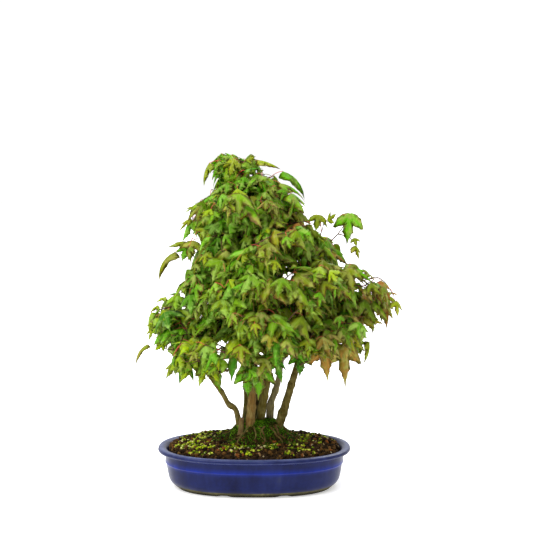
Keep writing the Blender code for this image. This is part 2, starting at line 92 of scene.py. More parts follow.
class Flow:
    """A value, colour or vector on its way through one material's nodes."""

    def __init__(self, tree, socket):
        self.tree = tree
        self.socket = socket

    def math(self, operation, *others):
        """Math node of this value and others, in order."""
        inputs = dict(enumerate((self,) + others))
        return grow(self.tree, "ShaderNodeMath", {"operation": operation}, inputs)

    def __add__(self, other):
        return self.math("ADD", other)

    def __sub__(self, other):
        return self.math("SUBTRACT", other)

    def __mul__(self, other):
        return self.math("MULTIPLY", other)

    def __pow__(self, other):
        return self.math("POWER", other)

    def __rsub__(self, other):
        return self.math("MULTIPLY", -1.0) + other

    __radd__ = __add__
    __rmul__ = __mul__

    def clamp(self):
        """The value held between 0 and 1."""
        return grow(self.tree, "ShaderNodeClamp", {}, {0: self})

    def step(self, low, high):
        """0 below low, 1 above high, smooth between."""
        return grow(self.tree, "ShaderNodeMapRange", {"interpolation_type": "SMOOTHSTEP"},
                    {"Value": self, "From Min": low, "From Max": high})

    def ramp(self, *stops):
        """The colour at this value between (place, colour) stops."""
        return grow(self.tree, "ShaderNodeValToRGB", {"stops": stops}, {"Fac": self})

    def bump(self, strength, distance):
        """Bumps of this height, for a Normal socket."""
        return grow(self.tree, "ShaderNodeBump", {},
                    {"Strength": strength, "Distance": distance, "Height": self})

    def mix(self, share, other):
        """This colour turned into the other by share."""
        return blend(self.tree, share, self, other)


def grow(tree, kind, settings, inputs, output=0):
    """Any node: its settings first, then values or links on its sockets."""
    node = tree.nodes.new(kind)
    for key, value in settings.items():
        if key == "stops":
            ramp = node.color_ramp
            while len(ramp.elements) < len(value):
                ramp.elements.new(0.5)
            for element, (place, colour) in zip(ramp.elements, value):
                element.position = place
                element.color = (*colour, 1.0)
        else:
            setattr(node, key, value)
    for key, value in inputs.items():
        if isinstance(value, Flow):
            tree.links.new(value.socket, node.inputs[key])
        elif isinstance(value, tuple) and len(value) == 3 and node.inputs[key].type == "RGBA":
            node.inputs[key].default_value = (*value, 1.0)
        else:
            node.inputs[key].default_value = value
    return Flow(tree, node.outputs[output])


def blend(tree, share, first, second):
    """Two colours or flows mixed by share."""
    return grow(tree, "ShaderNodeMix", {"data_type": "RGBA"}, {0: share, 6: first, 7: second}, 2)


def new_finish(name, rough, specular=0.5):
    """A Principled material; returns (material, node tree, shader node)."""
    made = bpy.data.materials.new(name)
    made.use_nodes = True
    shader = made.node_tree.nodes["Principled BSDF"]
    shader.inputs["Roughness"].default_value = rough
    shader.inputs["Specular IOR Level"].default_value = specular
    return made, made.node_tree, shader


def feed(tree, shader, **flows):
    """Links flows to the shader's sockets; underscores stand for spaces."""
    for key, flow in flows.items():
        tree.links.new(flow.socket, shader.inputs[key.replace("_", " ")])


def add_mesh(name, points, faces, smooth=True):
    """A mesh object from an (n, 3) array and a list of face index arrays."""
    mesh = bpy.data.meshes.new(name)
    sizes = np.concatenate([np.full(len(block), block.shape[1]) for block in faces])
    corners = np.concatenate([block.ravel() for block in faces])
    mesh.vertices.add(len(points))
    mesh.vertices.foreach_set("co", np.ascontiguousarray(points, np.float32).ravel())
    mesh.loops.add(len(corners))
    mesh.loops.foreach_set("vertex_index", corners.astype(np.int32))
    mesh.polygons.add(len(sizes))
    starts = np.concatenate([[0], np.cumsum(sizes)[:-1]])
    mesh.polygons.foreach_set("loop_start", starts.astype(np.int32))
    mesh.polygons.foreach_set("use_smooth", np.full(len(sizes), smooth))
    mesh.update(calc_edges=True)
    mesh.validate()
    made = bpy.data.objects.new(name, mesh)
    scene.collection.objects.link(made)
    return made


def paint(piece, name, values):
    """A value (n,) or colour (n, 3) stored on the piece's points."""
    values = np.asarray(values, np.float32)
    if values.ndim == 1:
        layer = piece.data.attributes.new(name, "FLOAT", "POINT")
        layer.data.foreach_set("value", values)
    else:
        layer = piece.data.attributes.new(name, "FLOAT_COLOR", "POINT")
        layer.data.foreach_set("color", np.hstack([values, np.ones((len(values), 1))]).ravel())


def attribute(tree, name, output="Fac"):
    """A painted value (Fac) or colour (Color) of the piece."""
    return grow(tree, "ShaderNodeAttribute", {"attribute_name": name}, {}, output)


def on_piece(tree, squash=1.0):
    """The place on the piece itself, with its height squashed."""
    place = grow(tree, "ShaderNodeTexCoord", {}, {}, "Object")
    if squash == 1.0:
        return place
    return grow(tree, "ShaderNodeMapping", {}, {"Vector": place, "Scale": (1.0, 1.0, squash)})


def noise(tree, scale, detail=3.0, coords=None, rough=0.5):
    """Fractal noise on the piece's own coordinates, about 0.3 to 0.7."""
    if coords is None:
        coords = on_piece(tree)
    return grow(tree, "ShaderNodeTexNoise", {},
                {"Vector": coords, "Scale": scale, "Detail": detail, "Roughness": rough})


# a white wall behind the table, and a dimmer room on the camera's side
world = bpy.data.worlds.new("studio")
world.use_nodes = True
scene.world = world
tree = world.node_tree
sky = grow(tree, "ShaderNodeTexCoord", {}, {}, "Generated")
ahead = grow(tree, "ShaderNodeSeparateXYZ", {}, {0: sky}, 1).step(-0.40, 0.05)
room = blend(tree, ahead, (0.42, 0.42, 0.43), (1.02, 1.02, 1.02))
tree.links.new(room.socket, tree.nodes["Background"].inputs["Color"])

floor_finish, tree, shader = new_finish("table_white", 0.9, specular=0.1)
feed(tree, shader, Base_Color=noise(tree, 3.0).ramp((0.0, (0.92, 0.92, 0.92)),
                                                    (1.0, (0.95, 0.95, 0.95))))
shader.inputs["Emission Color"].default_value = (1.0, 1.0, 1.0, 1.0)
shader.inputs["Emission Strength"].default_value = 0.42
reach = 8.0
floor = add_mesh("floor", np.array([[-reach, -reach, 0], [reach, -reach, 0],
                                    [reach, reach, 0], [-reach, reach, 0]]) - [0, 0, 0.0001],
                 [np.array([[0, 1, 2, 3]])])
floor.data.materials.append(floor_finish)

# ---- pot ------------------------------------------------------------------------
# Thrown and pressed stoneware, dipped in cobalt glaze to just above the foot.  The
# glaze runs thinner and brighter on the ridge and on the rim's edges, where the greyish lilac
# of the rim's crest and lip is a painted highlight.  The low foot ring is left unglazed, is
# notched for air and grows darker towards its bottom as painted shade.  Two drain holes go through.
RIM_LONG = 0.1499
RIM_DEEP = 0.1099
OVAL = 2.3
POT_ROUND = 256
HOLE_X = 0.055
HOLE_RADIUS = 0.011
UNDERSIDE = 0.003
POT_FLOOR = 0.009
NOTCH_X = 0.045
NOTCH_HALF = 0.012
NOTCH_HIGH = 0.0022
PAD_SIDES = 48
# (inset from the rim, height, both in millimetres, how thinly glazed it is, which on the
# rim's crest and lip stands for a painted highlight) from the recess to the floor
POT_PROFILE = np.array([
    (45, 3, 0), (44.2, 1.2, 0), (43, 0.2, 0), (41, 0, 0), (32.5, 0, 0), (30.5, 0.3, 0), (29, 2, 0),
    (25, 5, 0), (20.5, 9.5, 0), (17.2, 15, 0), (15, 24, 0), (13.4, 34, 0), (12.4, 38.5, 0.5),
    (10.9, 40.2, 1), (11.1, 42.5, 0.7), (11.4, 47, 0.1), (11.2, 52, 0), (9.8, 56, 0.1), (6, 56.8, 0.3),
    (2.2, 57, 1), (0.4, 58.4, 0.2), (0, 60, 0), (1, 62.1, 0.3), (3.6, 63.3, 1), (6.4, 63.5, 0.9),
    (9.2, 63.2, 0.4), (11.7, 62.3, 0), (14, 60.2, 0), (16, 57, 0), (18, 48, 0), (20.5, 30, 0),
    (24, 18, 0), (30, 11, 0), (36, 9, 0)]) / [1000.0, 1000.0, 1.0]
# a round blank pad stands out of the recessed underside
PAD_ROWS = np.array([(0.0001, 0.0034), (0.0121, 0.0034), (0.0120, 0.0027), (0.0117, 0.0024),
                     (0.0001, 0.0024)])


def smooth_rows(rows, steps):
    """Catmull-Rom through rows of numbers, steps between each pair."""
    p = np.vstack([2 * rows[0] - rows[1], rows, 2 * rows[-1] - rows[-2]])
    t = (np.arange(steps) / steps)[None, :, None]
    a, b, c, d = (p[i:len(p) - 3 + i, None, :] for i in range(4))
    out = 0.5 * (2 * b + (c - a) * t + (2 * a - 5 * b + 4 * c - d) * t ** 2
                 + (3 * b - a - 3 * c + d) * t ** 3)
    return np.vstack([out.reshape(-1, rows.shape[1]), rows[-1]])


def grid_faces(rows, columns):
    """Quads of a rows x columns grid of points, each row joined up round."""
    i = np.arange(rows - 1)[:, None] * columns
    j = np.arange(columns)[None, :]
    k = (j + 1) % columns
    return np.stack([i + j, i + k, i + columns + k, i + columns + j], axis=-1).reshape(-1, 4)


def wobble(points, scale, seed):
    """Smooth made-up noise in -1..1: a sum of sines along random directions."""
    pick = np.random.default_rng(seed)
    total = np.zeros(points.shape[:-1])
    for octave in range(3):
        ways = pick.normal(0.0, 1.0, (6, 3)) * scale * 2 ** octave
        shift = pick.uniform(0.0, 6.3, 6)
        total = total + np.sin(points @ ways.T + shift).sum(axis=-1) / (6.0 * 1.6 ** octave)
    return total


def closed_faces(rows, columns):
    """The faces of a closed body of round rows, with a flat cap at each end."""
    start = np.arange(columns)
    return [grid_faces(rows, columns), np.vstack([start[::-1], (rows - 1) * columns + start])]


def oval_ring(sides):
    """An oval of size 1: x and y are sign(c) * |c|^(2 / OVAL) of the cosine and sine."""
    angle = np.arange(sides) * 2.0 * math.pi / sides
    return [np.sign(way) * np.abs(way) ** (2.0 / OVAL) for way in (np.cos(angle), np.sin(angle))]


oval_x, oval_y = oval_ring(POT_ROUND)
profile = smooth_rows(POT_PROFILE, 4)
profile[:, 1] = np.clip(profile[:, 1], 0.0, 0.0635)
shell = np.stack([(RIM_LONG - profile[:, :1]) * oval_x, (RIM_DEEP - profile[:, :1]) * oval_y,
                  np.broadcast_to(profile[:, 1:2], (len(profile), POT_ROUND))], axis=-1)
uneven = wobble(shell, 40.0, 3)
shell[..., :2] *= 1.0 - 0.0016 * np.abs(uneven)[..., None]
# notches through the foot ring, beside each hole at front and back
notch = np.clip(1.6 - np.abs(np.abs(shell[..., 0]) - NOTCH_X) / NOTCH_HALF * 1.6, 0.0, 1.0)
notch = notch * (np.abs(shell[..., 1]) > 0.03)
shell[..., 2] = np.maximum(shell[..., 2], NOTCH_HIGH * notch)
shell_points = shell.reshape(-1, 3)
thin = np.broadcast_to(profile[:, 2:], (len(profile), POT_ROUND)).ravel()


def half_floor(hand, inset, z):
    """Half of the pot's floor at height z, as rays from its hole's centre.

    Each runs from the hole's edge to the half oval or its straight side, found by halving.
    """
    share = np.linspace(0.0, 1.0, 9)[:, None]
    steps = 160
    turn = np.linspace(-math.pi, math.pi, steps, endpoint=False) + 0.002
    ray_x = np.cos(turn)
    ray_y = np.sin(turn)
    far = np.full(steps, 0.4)
    low = np.zeros(steps)
    for _ in range(40):
        mid = (low + far) / 2.0
        x = HOLE_X + ray_x * mid
        y = ray_y * mid
        inside = ((np.abs(x) / (RIM_LONG - inset)) ** OVAL
                  + (np.abs(y) / (RIM_DEEP - inset)) ** OVAL < 1.0) & (x > 0.0)
        low = np.where(inside, mid, low)
        far = np.where(inside, far, mid)
    length = HOLE_RADIUS + (low - HOLE_RADIUS) * share
    return np.stack([hand * (HOLE_X + ray_x * length), ray_y * length,
                     np.full(length.shape, z)], axis=-1)


blocks = [shell_points]
quads = [grid_faces(len(profile), POT_ROUND)]
count = len(shell_points)
for hand in (1.0, -1.0):
    below = half_floor(hand, 0.0449, UNDERSIDE)
    above = half_floor(hand, 0.0361, POT_FLOOR)
    walls = np.concatenate([below[::-1], above])
    faces = grid_faces(len(walls), walls.shape[1])
    quads.append((faces if hand > 0 else faces[:, ::-1]) + count)
    blocks.append(walls.reshape(-1, 3))
    count += walls.shape[0] * walls.shape[1]
turn = np.arange(PAD_SIDES) * 2.0 * math.pi / PAD_SIDES
pad = np.stack([PAD_ROWS[:, :1] * np.cos(turn), -PAD_ROWS[:, :1] * np.sin(turn),
                np.broadcast_to(PAD_ROWS[:, 1:], (len(PAD_ROWS), PAD_SIDES))], axis=-1)
quads += [block + count for block in closed_faces(len(PAD_ROWS), PAD_SIDES)]
blocks.append(pad.reshape(-1, 3))
count += len(PAD_ROWS) * PAD_SIDES
pot = add_mesh("glazed_pot", np.vstack(blocks), quads)
paint(pot, "thin", np.concatenate([thin, np.zeros(count - len(thin))]))

glaze, tree, shader = new_finish("cobalt_glaze", 0.30, specular=0.14)
height = grow(tree, "ShaderNodeSeparateXYZ", {}, {0: on_piece(tree)}, 2)
drift = noise(tree, 22.0, 4.0)
fine = noise(tree, 260.0)
streak = noise(tree, 60.0, 3.0, on_piece(tree, 0.18))
deep = (drift * 0.6 + streak * 0.4).ramp(
    (0.34, (0.0015, 0.0030, 0.030)), (0.50, (0.0045, 0.0085, 0.060)),
    (0.60, (0.0085, 0.0140, 0.078)), (0.72, (0.0260, 0.0330, 0.078)))
# the glaze shows brighter blue where it runs thinner on the ridge; the greyish lilac on the rim's
# crest and lip is a painted highlight
thin_glaze_and_sheen_share = attribute(tree, "thin") * (streak * 2.0 - 0.25)
edge = blend(tree, height.step(0.0550, 0.0585), (0.010, 0.026, 0.260), (0.080, 0.100, 0.230))
blue = deep.mix((thin_glaze_and_sheen_share + fine * 0.25 - 0.10).clamp(), edge)
speck = grow(tree, "ShaderNodeTexVoronoi", {}, {"Vector": on_piece(tree), "Scale": 60.0})
speck = (1.0 - speck.step(0.02, 0.13)) * noise(tree, 31.0).step(0.50, 0.62)
blue = blue.mix(speck * 0.45, (0.240, 0.240, 0.170))
bare = 1.0 - (height + noise(tree, 35.0) * 0.0030).step(0.0092, 0.0102)
# the unglazed foot, darker towards its bottom edge as painted shade where it meets the table
clay_and_painted_shade = (fine * 0.3 + drift * 0.5 + height.step(0.0020, 0.0070) * 0.2).ramp(
    (0.35, (0.018, 0.015, 0.006)), (0.52, (0.055, 0.048, 0.020)),
    (0.66, (0.135, 0.120, 0.052)), (0.84, (0.280, 0.245, 0.130)))
feed(tree, shader, Base_Color=blue.mix(bare, clay_and_painted_shade), Roughness=0.24 + fine * 0.16 + bare * 0.45,
     Normal=(drift * 0.7 + fine * (0.12 + bare * 0.5)).bump(0.25, 0.0006))
pot.data.materials.append(glaze)
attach(pot, "root")
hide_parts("pot")

# ---- drain netting and its clips ---------------------------------------------------
# A square of moulded plastic net keeps the soil in over each hole.  A bent staple of
# soft aluminium wire goes down through it and is spread out under the pot.
net_finish, tree, shader = new_finish("net_plastic", 0.55)
grime = noise(tree, 300.0)
feed(tree, shader, Base_Color=grime.ramp((0.3, (0.018, 0.026, 0.020)), (0.7, (0.060, 0.062, 0.045))),
     Roughness=0.4 + grime * 0.4)
wire_finish, tree, shader = new_finish("clip_aluminium", 0.35)
shader.inputs["Metallic"].default_value = 1.0
dull = noise(tree, 500.0)
feed(tree, shader, Base_Color=dull.ramp((0.3, (0.36, 0.34, 0.31)), (0.7, (0.62, 0.60, 0.57))),
     Roughness=0.25 + dull * 0.3)
for node, finish in (("drain_mesh_left", net_finish), ("drain_mesh_right", net_finish),
                     ("mesh_clip_left", wire_finish), ("mesh_clip_right", wire_finish)):
    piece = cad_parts[node]
    piece.data.materials.clear()
    piece.data.materials.append(finish)

# ---- soil ----------------------------------------------------------------------------
# Baked clay and lava granules, 3 to 6 mm, heaped a little above the rim.  One closed
# body fills the pot and loose granules lie all over its top.
SOIL_LONG = 0.1335
SOIL_DEEP = 0.0935
SOIL_EDGE = 0.0598
SOIL_RISE = 0.0128
GRANULES = 3600
MOSS_SPOTS = 760
TUFTS_PER_SPOT = 4


def soil_share(x, y):
    """|x / long|^OVAL + |y / deep|^OVAL: 0 in the middle, 1 at the pot's wall."""
    return np.abs(x / SOIL_LONG) ** OVAL + np.abs(y / SOIL_DEEP) ** OVAL


def soil_height(x, y):
    """Edge height + rise * (1 - distance^6), distance 1 at the pot's wall."""
    far = soil_share(x, y) ** (1.0 / OVAL)
    return SOIL_EDGE + SOIL_RISE * (1.0 - np.clip(far, 0.0, 1.0) ** 6)


soil_sides = 160
round_x, round_y = oval_ring(soil_sides)
wall = np.array([(0.0365, 0.0094), (0.0307, 0.0114), (0.0248, 0.0182), (0.0212, 0.0300),
                 (0.0187, 0.0480), (0.0172, 0.0565)])
rings = [np.stack([(RIM_LONG - inset) * round_x, (RIM_DEEP - inset) * round_y,
                   np.full(soil_sides, z)], axis=-1) for inset, z in wall]
for part in np.linspace(0.995, 0.02, 40):
    x = SOIL_LONG * part * round_x
    y = SOIL_DEEP * part * round_y
    lump = wobble(np.stack([x, y, x * 0.0], axis=-1), 520.0, 5) * 0.0007 * min(1.0, (1 - part) * 20)
    rings.append(np.stack([x, y, soil_height(x, y) + lump], axis=-1))
soil = add_mesh("soil_body", np.vstack(rings), closed_faces(len(rings), soil_sides))
earth, tree, shader = new_finish("granule_soil", 0.95, specular=0.05)
crumb = noise(tree, 420.0, 4.0)
feed(tree, shader, Normal=crumb.bump(0.8, 0.001), Base_Color=crumb.ramp(
    (0.35, (0.010, 0.007, 0.004)), (0.60, (0.045, 0.026, 0.014)), (0.80, (0.095, 0.058, 0.030))))
soil.data.materials.append(earth)
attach(soil, "root")
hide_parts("soil")


def lump_shape():
    """A cube's faces halved and pushed out to a ball: 26 points, 24 quads."""
    steps = np.array([-1.0, 0.0, 1.0])
    x, y, z = (axis.ravel() for axis in np.meshgrid(steps, steps, steps, indexing="ij"))
    keep = np.abs(np.stack([x, y, z])).max(axis=0) > 0.5
    points = np.stack([x, y, z], axis=1)
    number = -np.ones(27, int)
    number[keep] = np.arange(keep.sum())
    faces = []
    for axis in range(3):
        u, v = [(1, 2), (2, 0), (0, 1)][axis]
        for end in (0, 2):
            for i in range(2):
                for j in range(2):
                    quad = []
                    for du, dv in ((0, 0), (1, 0), (1, 1), (0, 1)):
                        spot = [0, 0, 0]
                        spot[axis] = end
                        spot[u] = i + du
                        spot[v] = j + dv
                        quad.append(number[spot[0] * 9 + spot[1] * 3 + spot[2]])
                    faces.append(quad if end else quad[::-1])
    points = points[keep]
    return points / np.linalg.norm(points, axis=1)[:, None] ** 0.75, np.array(faces)


def turned(number, tilt):
    """number random rotation matrices; tilt 0 keeps them upright."""
    q = rng.normal(0.0, 1.0, (number, 4)) * [1.0, tilt, tilt, 1.0]
    w, x, y, z = (q / np.linalg.norm(q, axis=1)[:, None]).T
    return np.stack([
        np.stack([1 - 2 * (y * y + z * z), 2 * (x * y - z * w), 2 * (x * z + y * w)], -1),
        np.stack([2 * (x * y + z * w), 1 - 2 * (x * x + z * z), 2 * (y * z - x * w)], -1),
        np.stack([2 * (x * z - y * w), 2 * (y * z + x * w), 1 - 2 * (x * x + y * y)], -1)], 1)


def strew(name, shape, faces, places, sizes, tilt, rough, shade, finish, smooth=True):
    """One piece of many copies of a small shape: place + turn @ (size * roughened point).

    Each copy's value in "grain" is its shade, or is drawn between the two shades given.
    """
    number = len(places)
    turns = turned(number, tilt)
    ripple = 1.0 + rough * rng.uniform(-1.0, 1.0, (number, len(shape), 1))
    local = shape[None] * ripple * sizes[:, None, :]
    points = np.einsum("nij,nkj->nki", turns, local) + places[:, None, :]
    links = faces[None] + (np.arange(number) * len(shape))[:, None, None]
    piece = add_mesh(name, points.reshape(-1, 3), [links.reshape(-1, faces.shape[1])], smooth)
    if isinstance(shade, tuple):
        shade = rng.uniform(*shade, number)
    paint(piece, "grain", np.repeat(shade, len(shape)))
    piece.data.materials.append(finish)
    return piece


def soil_spots(number, reach):
    """Random places on the soil, clear of the mound, as (x, y)."""
    spots = rng.uniform(-1.0, 1.0, (number * 3, 2)) * [SOIL_LONG, SOIL_DEEP]
    far = soil_share(spots[:, 0], spots[:, 1])
    mound = ((spots[:, 0] - 0.005) / 0.058) ** 2 + (spots[:, 1] / 0.048) ** 2
    return spots[(far < reach ** OVAL) & (mound > 1.0)][:number]


grit, tree, shader = new_finish("granule", 0.92, specular=0.08)
rough = noise(tree, 700.0)
base = attribute(tree, "grain").ramp(
    (0.00, (0.010, 0.006, 0.002)), (0.30, (0.026, 0.014, 0.004)), (0.55, (0.060, 0.030, 0.008)),
    (0.74, (0.120, 0.056, 0.012)), (0.86, (0.150, 0.088, 0.024)), (0.93, (0.280, 0.080, 0.014)),
    (0.965, (0.360, 0.260, 0.110)), (1.00, (0.620, 0.520, 0.300)))
feed(tree, shader, Base_Color=base.mix((rough * 1.4 - 0.35).clamp() * 0.7, (0.012, 0.008, 0.005)),
     Normal=rough.bump(0.6, 0.0005))
lump, lump_faces = lump_shape()
spots = soil_spots(GRANULES, 0.985)
size = rng.gamma(6.0, 0.00029, len(spots)).clip(0.0009, 0.0031)
lift = soil_height(spots[:, 0], spots[:, 1]) + rng.uniform(-0.2, 0.75, len(spots)) * size
sizes = size[:, None] * rng.uniform(0.75, 1.20, (len(spots), 3))
grains = strew("granules", lump, lump_faces, np.column_stack([spots, lift]), sizes,
               1.0, 0.24, (0.0, 1.0), grit, smooth=False)
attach(grains, "root")

# moss that has seeded itself between the granules, thickest at the left
fleck, tree, shader = new_finish("moss_fleck", 0.9, specular=0.08)
pile = noise(tree, 1500.0, 2.0)
base = attribute(tree, "grain").ramp(
    (0.00, (0.040, 0.080, 0.002)), (0.35, (0.160, 0.230, 0.004)), (0.70, (0.480, 0.600, 0.010)),
    (0.90, (0.740, 0.760, 0.100)), (1.00, (0.800, 0.760, 0.360)))
feed(tree, shader, Base_Color=base.mix((pile * 1.6 - 0.5).clamp() * 0.6, (0.030, 0.060, 0.006)),
     Normal=pile.bump(0.7, 0.0006))
spots = soil_spots(MOSS_SPOTS, 0.96)
chance = 0.30 + 0.45 * (spots[:, 0] < -0.02) + 0.2 * (spots[:, 1] < 0.0)
patch = wobble(np.column_stack([spots, spots[:, 0] * 0.0]), 95.0, 9)
spots = spots[rng.uniform(0.0, 1.0, len(spots)) < chance * (patch > -0.12)]
spots = np.repeat(spots, TUFTS_PER_SPOT, axis=0)
spots = spots + rng.normal(0.0, 0.0016, spots.shape)
size = rng.uniform(0.0008, 0.0021, len(spots))
lift = soil_height(spots[:, 0], spots[:, 1]) + 0.0014 + rng.uniform(0.0, 0.0008, len(spots))
flecks = strew("moss_flecks", lump, lump_faces, np.column_stack([spots, lift]),
               size[:, None] * [1.15, 1.15, 0.8], 0.4, 0.25, (0.0, 1.0), fleck)
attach(flecks, "root")

# ---- mossy mound ------------------------------------------------------------------------
# The old root ball stands proud of the soil, packed with moss.  It is one lumpy body
# under a pile of short moss shoots, and bare roots run down it from the trunks.
MOUND_X = 0.0065
# (half length, half depth, height) from the foot to the crown
MOUND_STEPS = np.array([(0.0655, 0.0555, 0.0735), (0.0580, 0.0500, 0.0772),
                        (0.0440, 0.0410, 0.0842), (0.0370, 0.0350, 0.0930),
                        (0.0318, 0.0300, 0.0995), (0.0200, 0.0185, 0.1030),
                        (0.0010, 0.0010, 0.1036)])
MOUND_SHOOTS = 7200
WASHED_UP = 520
CREEPERS = 5200
mound_sides = 144
turn = np.arange(mound_sides) * 2.0 * math.pi / mound_sides
steps = smooth_rows(MOUND_STEPS, 9)
hill = np.stack([MOUND_X + steps[:, :1] * np.cos(turn), steps[:, 1:2] * np.sin(turn),
                 np.broadcast_to(steps[:, 2:], (len(steps), mound_sides))], axis=-1)
swell = wobble(hill, 130.0, 4) * 0.0028 * np.minimum(1.0, np.arange(len(steps)) / 8.0)[:, None]
out = np.stack([np.cos(turn), np.sin(turn), np.full(mound_sides, 0.5)], axis=-1)
hill = hill + swell[..., None] * out
hill[..., 2] = np.minimum(hill[..., 2], 0.1046)
mound = add_mesh("root_mound", hill.reshape(-1, 3), closed_faces(len(steps), mound_sides))
turf, tree, shader = new_finish("moss_turf", 0.95, specular=0.05)
pile = noise(tree, 900.0)
base = noise(tree, 70.0, 4.0).ramp(
    (0.32, (0.040, 0.022, 0.005)), (0.48, (0.028, 0.028, 0.003)), (0.60, (0.028, 0.052, 0.002)),
    (0.75, (0.045, 0.105, 0.004)))
feed(tree, shader, Base_Color=base.mix((pile * 1.8 - 0.6).clamp() * 0.8, (0.010, 0.014, 0.003)),
     Normal=pile.bump(0.9, 0.0012))
mound.data.materials.append(turf)
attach(mound, "root")
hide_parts("moss_mound")

# moss shoots: four-sided spikes standing out of the mound's skin
shoot = np.array([(1, 0, 0), (0, 1, 0), (-1, 0, 0), (0, -1, 0), (0.7, 0.7, 1.2), (-0.7, 0.7, 1.3),
                  (0.0, -0.8, 1.2), (0.0, 0.1, 2.3)], float)
shoot_faces = np.array([(0, 1, 4), (1, 2, 5), (2, 3, 6), (3, 0, 6), (1, 5, 4), (2, 6, 5),
                        (0, 4, 6), (4, 5, 7), (5, 6, 7), (6, 4, 7), (3, 2, 1), (3, 1, 0)])
row = rng.integers(2, len(steps) - 1, MOUND_SHOOTS)
column = rng.integers(0, mound_sides, MOUND_SHOOTS)
roots_at = hill[row, column] + rng.normal(0.0, 0.0007, (MOUND_SHOOTS, 3))
green = wobble(roots_at, 120.0, 14) + rng.normal(0.0, 0.25, MOUND_SHOOTS)
keep = green > -0.08
roots_at = roots_at[keep]
green = green[keep]
size = rng.uniform(0.00035, 0.00075, len(roots_at))
sprig, tree, shader = new_finish("moss_shoot", 0.85, specular=0.08)
base = attribute(tree, "grain").ramp(
    (0.00, (0.034, 0.040, 0.002)), (0.35, (0.036, 0.085, 0.002)), (0.65, (0.065, 0.190, 0.003)),
    (1.00, (0.180, 0.400, 0.012)))
feed(tree, shader, Base_Color=base.mix(noise(tree, 260.0).step(0.45, 0.75) * 0.6,
                                       (0.016, 0.030, 0.004)))
shoots = strew("moss_shoots", shoot, shoot_faces, roots_at, size[:, None] * [1.0, 1.0, 1.5],
               0.30, 0.2, np.clip(0.45 + green * 0.6, 0.0, 1.0), sprig)
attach(shoots, "root")

# granules washed up on its lower slopes, and moss creeping off it over the soil
row = (rng.uniform(0.0, 1.0, WASHED_UP) ** 1.6 * 18).astype(int)
column = rng.integers(0, mound_sides, WASHED_UP)
places = hill[row, column] + rng.normal(0.0, 0.0008, (WASHED_UP, 3))
size = rng.uniform(0.0009, 0.0020, WASHED_UP)
sizes = size[:, None] * rng.uniform(0.75, 1.2, (WASHED_UP, 3))
washed = strew("slope_granules", lump, lump_faces, places, sizes, 1.0, 0.24, (0.0, 0.97), grit,
               smooth=False)
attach(washed, "root")
turn = rng.uniform(0.0, 2.0 * math.pi, CREEPERS)
far = 0.94 + np.abs(rng.normal(0.0, 0.14, CREEPERS))
spots = np.column_stack([MOUND_X + MOUND_STEPS[0, 0] * far * np.cos(turn),
                         MOUND_STEPS[0, 1] * far * np.sin(turn)])
patch = wobble(np.column_stack([spots, spots[:, 0] * 0.0]), 110.0, 21)
spots = spots[(patch > -0.05 + 0.9 * (far - 0.94)) & (soil_share(spots[:, 0], spots[:, 1]) < 0.95)]
lift = np.maximum(soil_height(spots[:, 0], spots[:, 1]), 0.0) + rng.uniform(0.0, 0.0022, len(spots))
size = rng.uniform(0.00045, 0.00085, len(spots))
creep = strew("creeping_moss", shoot, shoot_faces, np.column_stack([spots, lift]),
              size[:, None] * [1.0, 1.0, 1.3], 0.30, 0.2, (0.1, 0.95), sprig)
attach(creep, "root")

# ---- trunks and branches -------------------------------------------------------------------
# Seven thin trunks grown together, grey-brown to red-brown, with knots where old shoots
# were cut.  Branches leave them and climb outwards to the sprays.
LOWEST_BRANCH = 0.150
BRANCH_RISE = 0.45
SPRAY_REACH = 0.042
CROWN_X = 0.005
CROWN_RADIUS = 0.060
# name: (route, radius at foot, radius at top, bark colour, knot heights), in millimetres
TRUNKS = {
    "tree_front": ([(-6, -22, 100), (-4, -22, 132), (-3, -20, 170), (-6, -16, 230), (-10, -12, 300),
                    (-13, -8, 380), (-14, -4, 430), (-16, 0, 455)],
                   8.5, 2.2, (0.200, 0.110, 0.028), (128, 200)),
    "tree_left": ([(-24, -6, 100), (-29, -8, 121), (-40, -10, 130), (-49, -12, 147), (-66, -12, 171),
                   (-85, -14, 202), (-106, -14, 240), (-120, -10, 268)],
                  5.2, 2.2, (0.160, 0.115, 0.028), (127, 150)),
    "tree_back_left": ([(-14, 16, 100), (-12, 19, 140), (-17, 24, 185), (-30, 32, 245), (-42, 36, 315),
                        (-48, 36, 375)],
                       6.2, 2.3, (0.095, 0.075, 0.012), (150,)),
    "tree_centre": ([(9, -3, 100), (16, -1, 145), (21, 2, 172), (25, 8, 222), (23, 14, 290),
                     (24, 12, 340), (25, 4, 385)],
                    8.2, 2.3, (0.125, 0.100, 0.014), (140, 185)),
    "tree_back": ([(6, 22, 100), (3, 26, 140), (0, 36, 195), (2, 46, 262), (6, 54, 315)],
                  6.8, 2.4, (0.042, 0.030, 0.009), (160,)),
    "tree_mid_right": ([(24, 10, 100), (26, 12, 128), (32, 14, 144), (39, 18, 170), (47, 22, 233),
                        (62, 26, 290), (80, 26, 340)],
                       7.2, 2.4, (0.240, 0.200, 0.100), (122, 146, 190)),
    "tree_right": ([(38, -6, 97), (46, -8, 120), (52, -8, 141), (60, -8, 168), (72, -10, 208),
                    (90, -12, 252), (106, -12, 280), (116, -8, 294)],
                   8.4, 2.4, (0.088, 0.062, 0.010), (115, 160)),
}
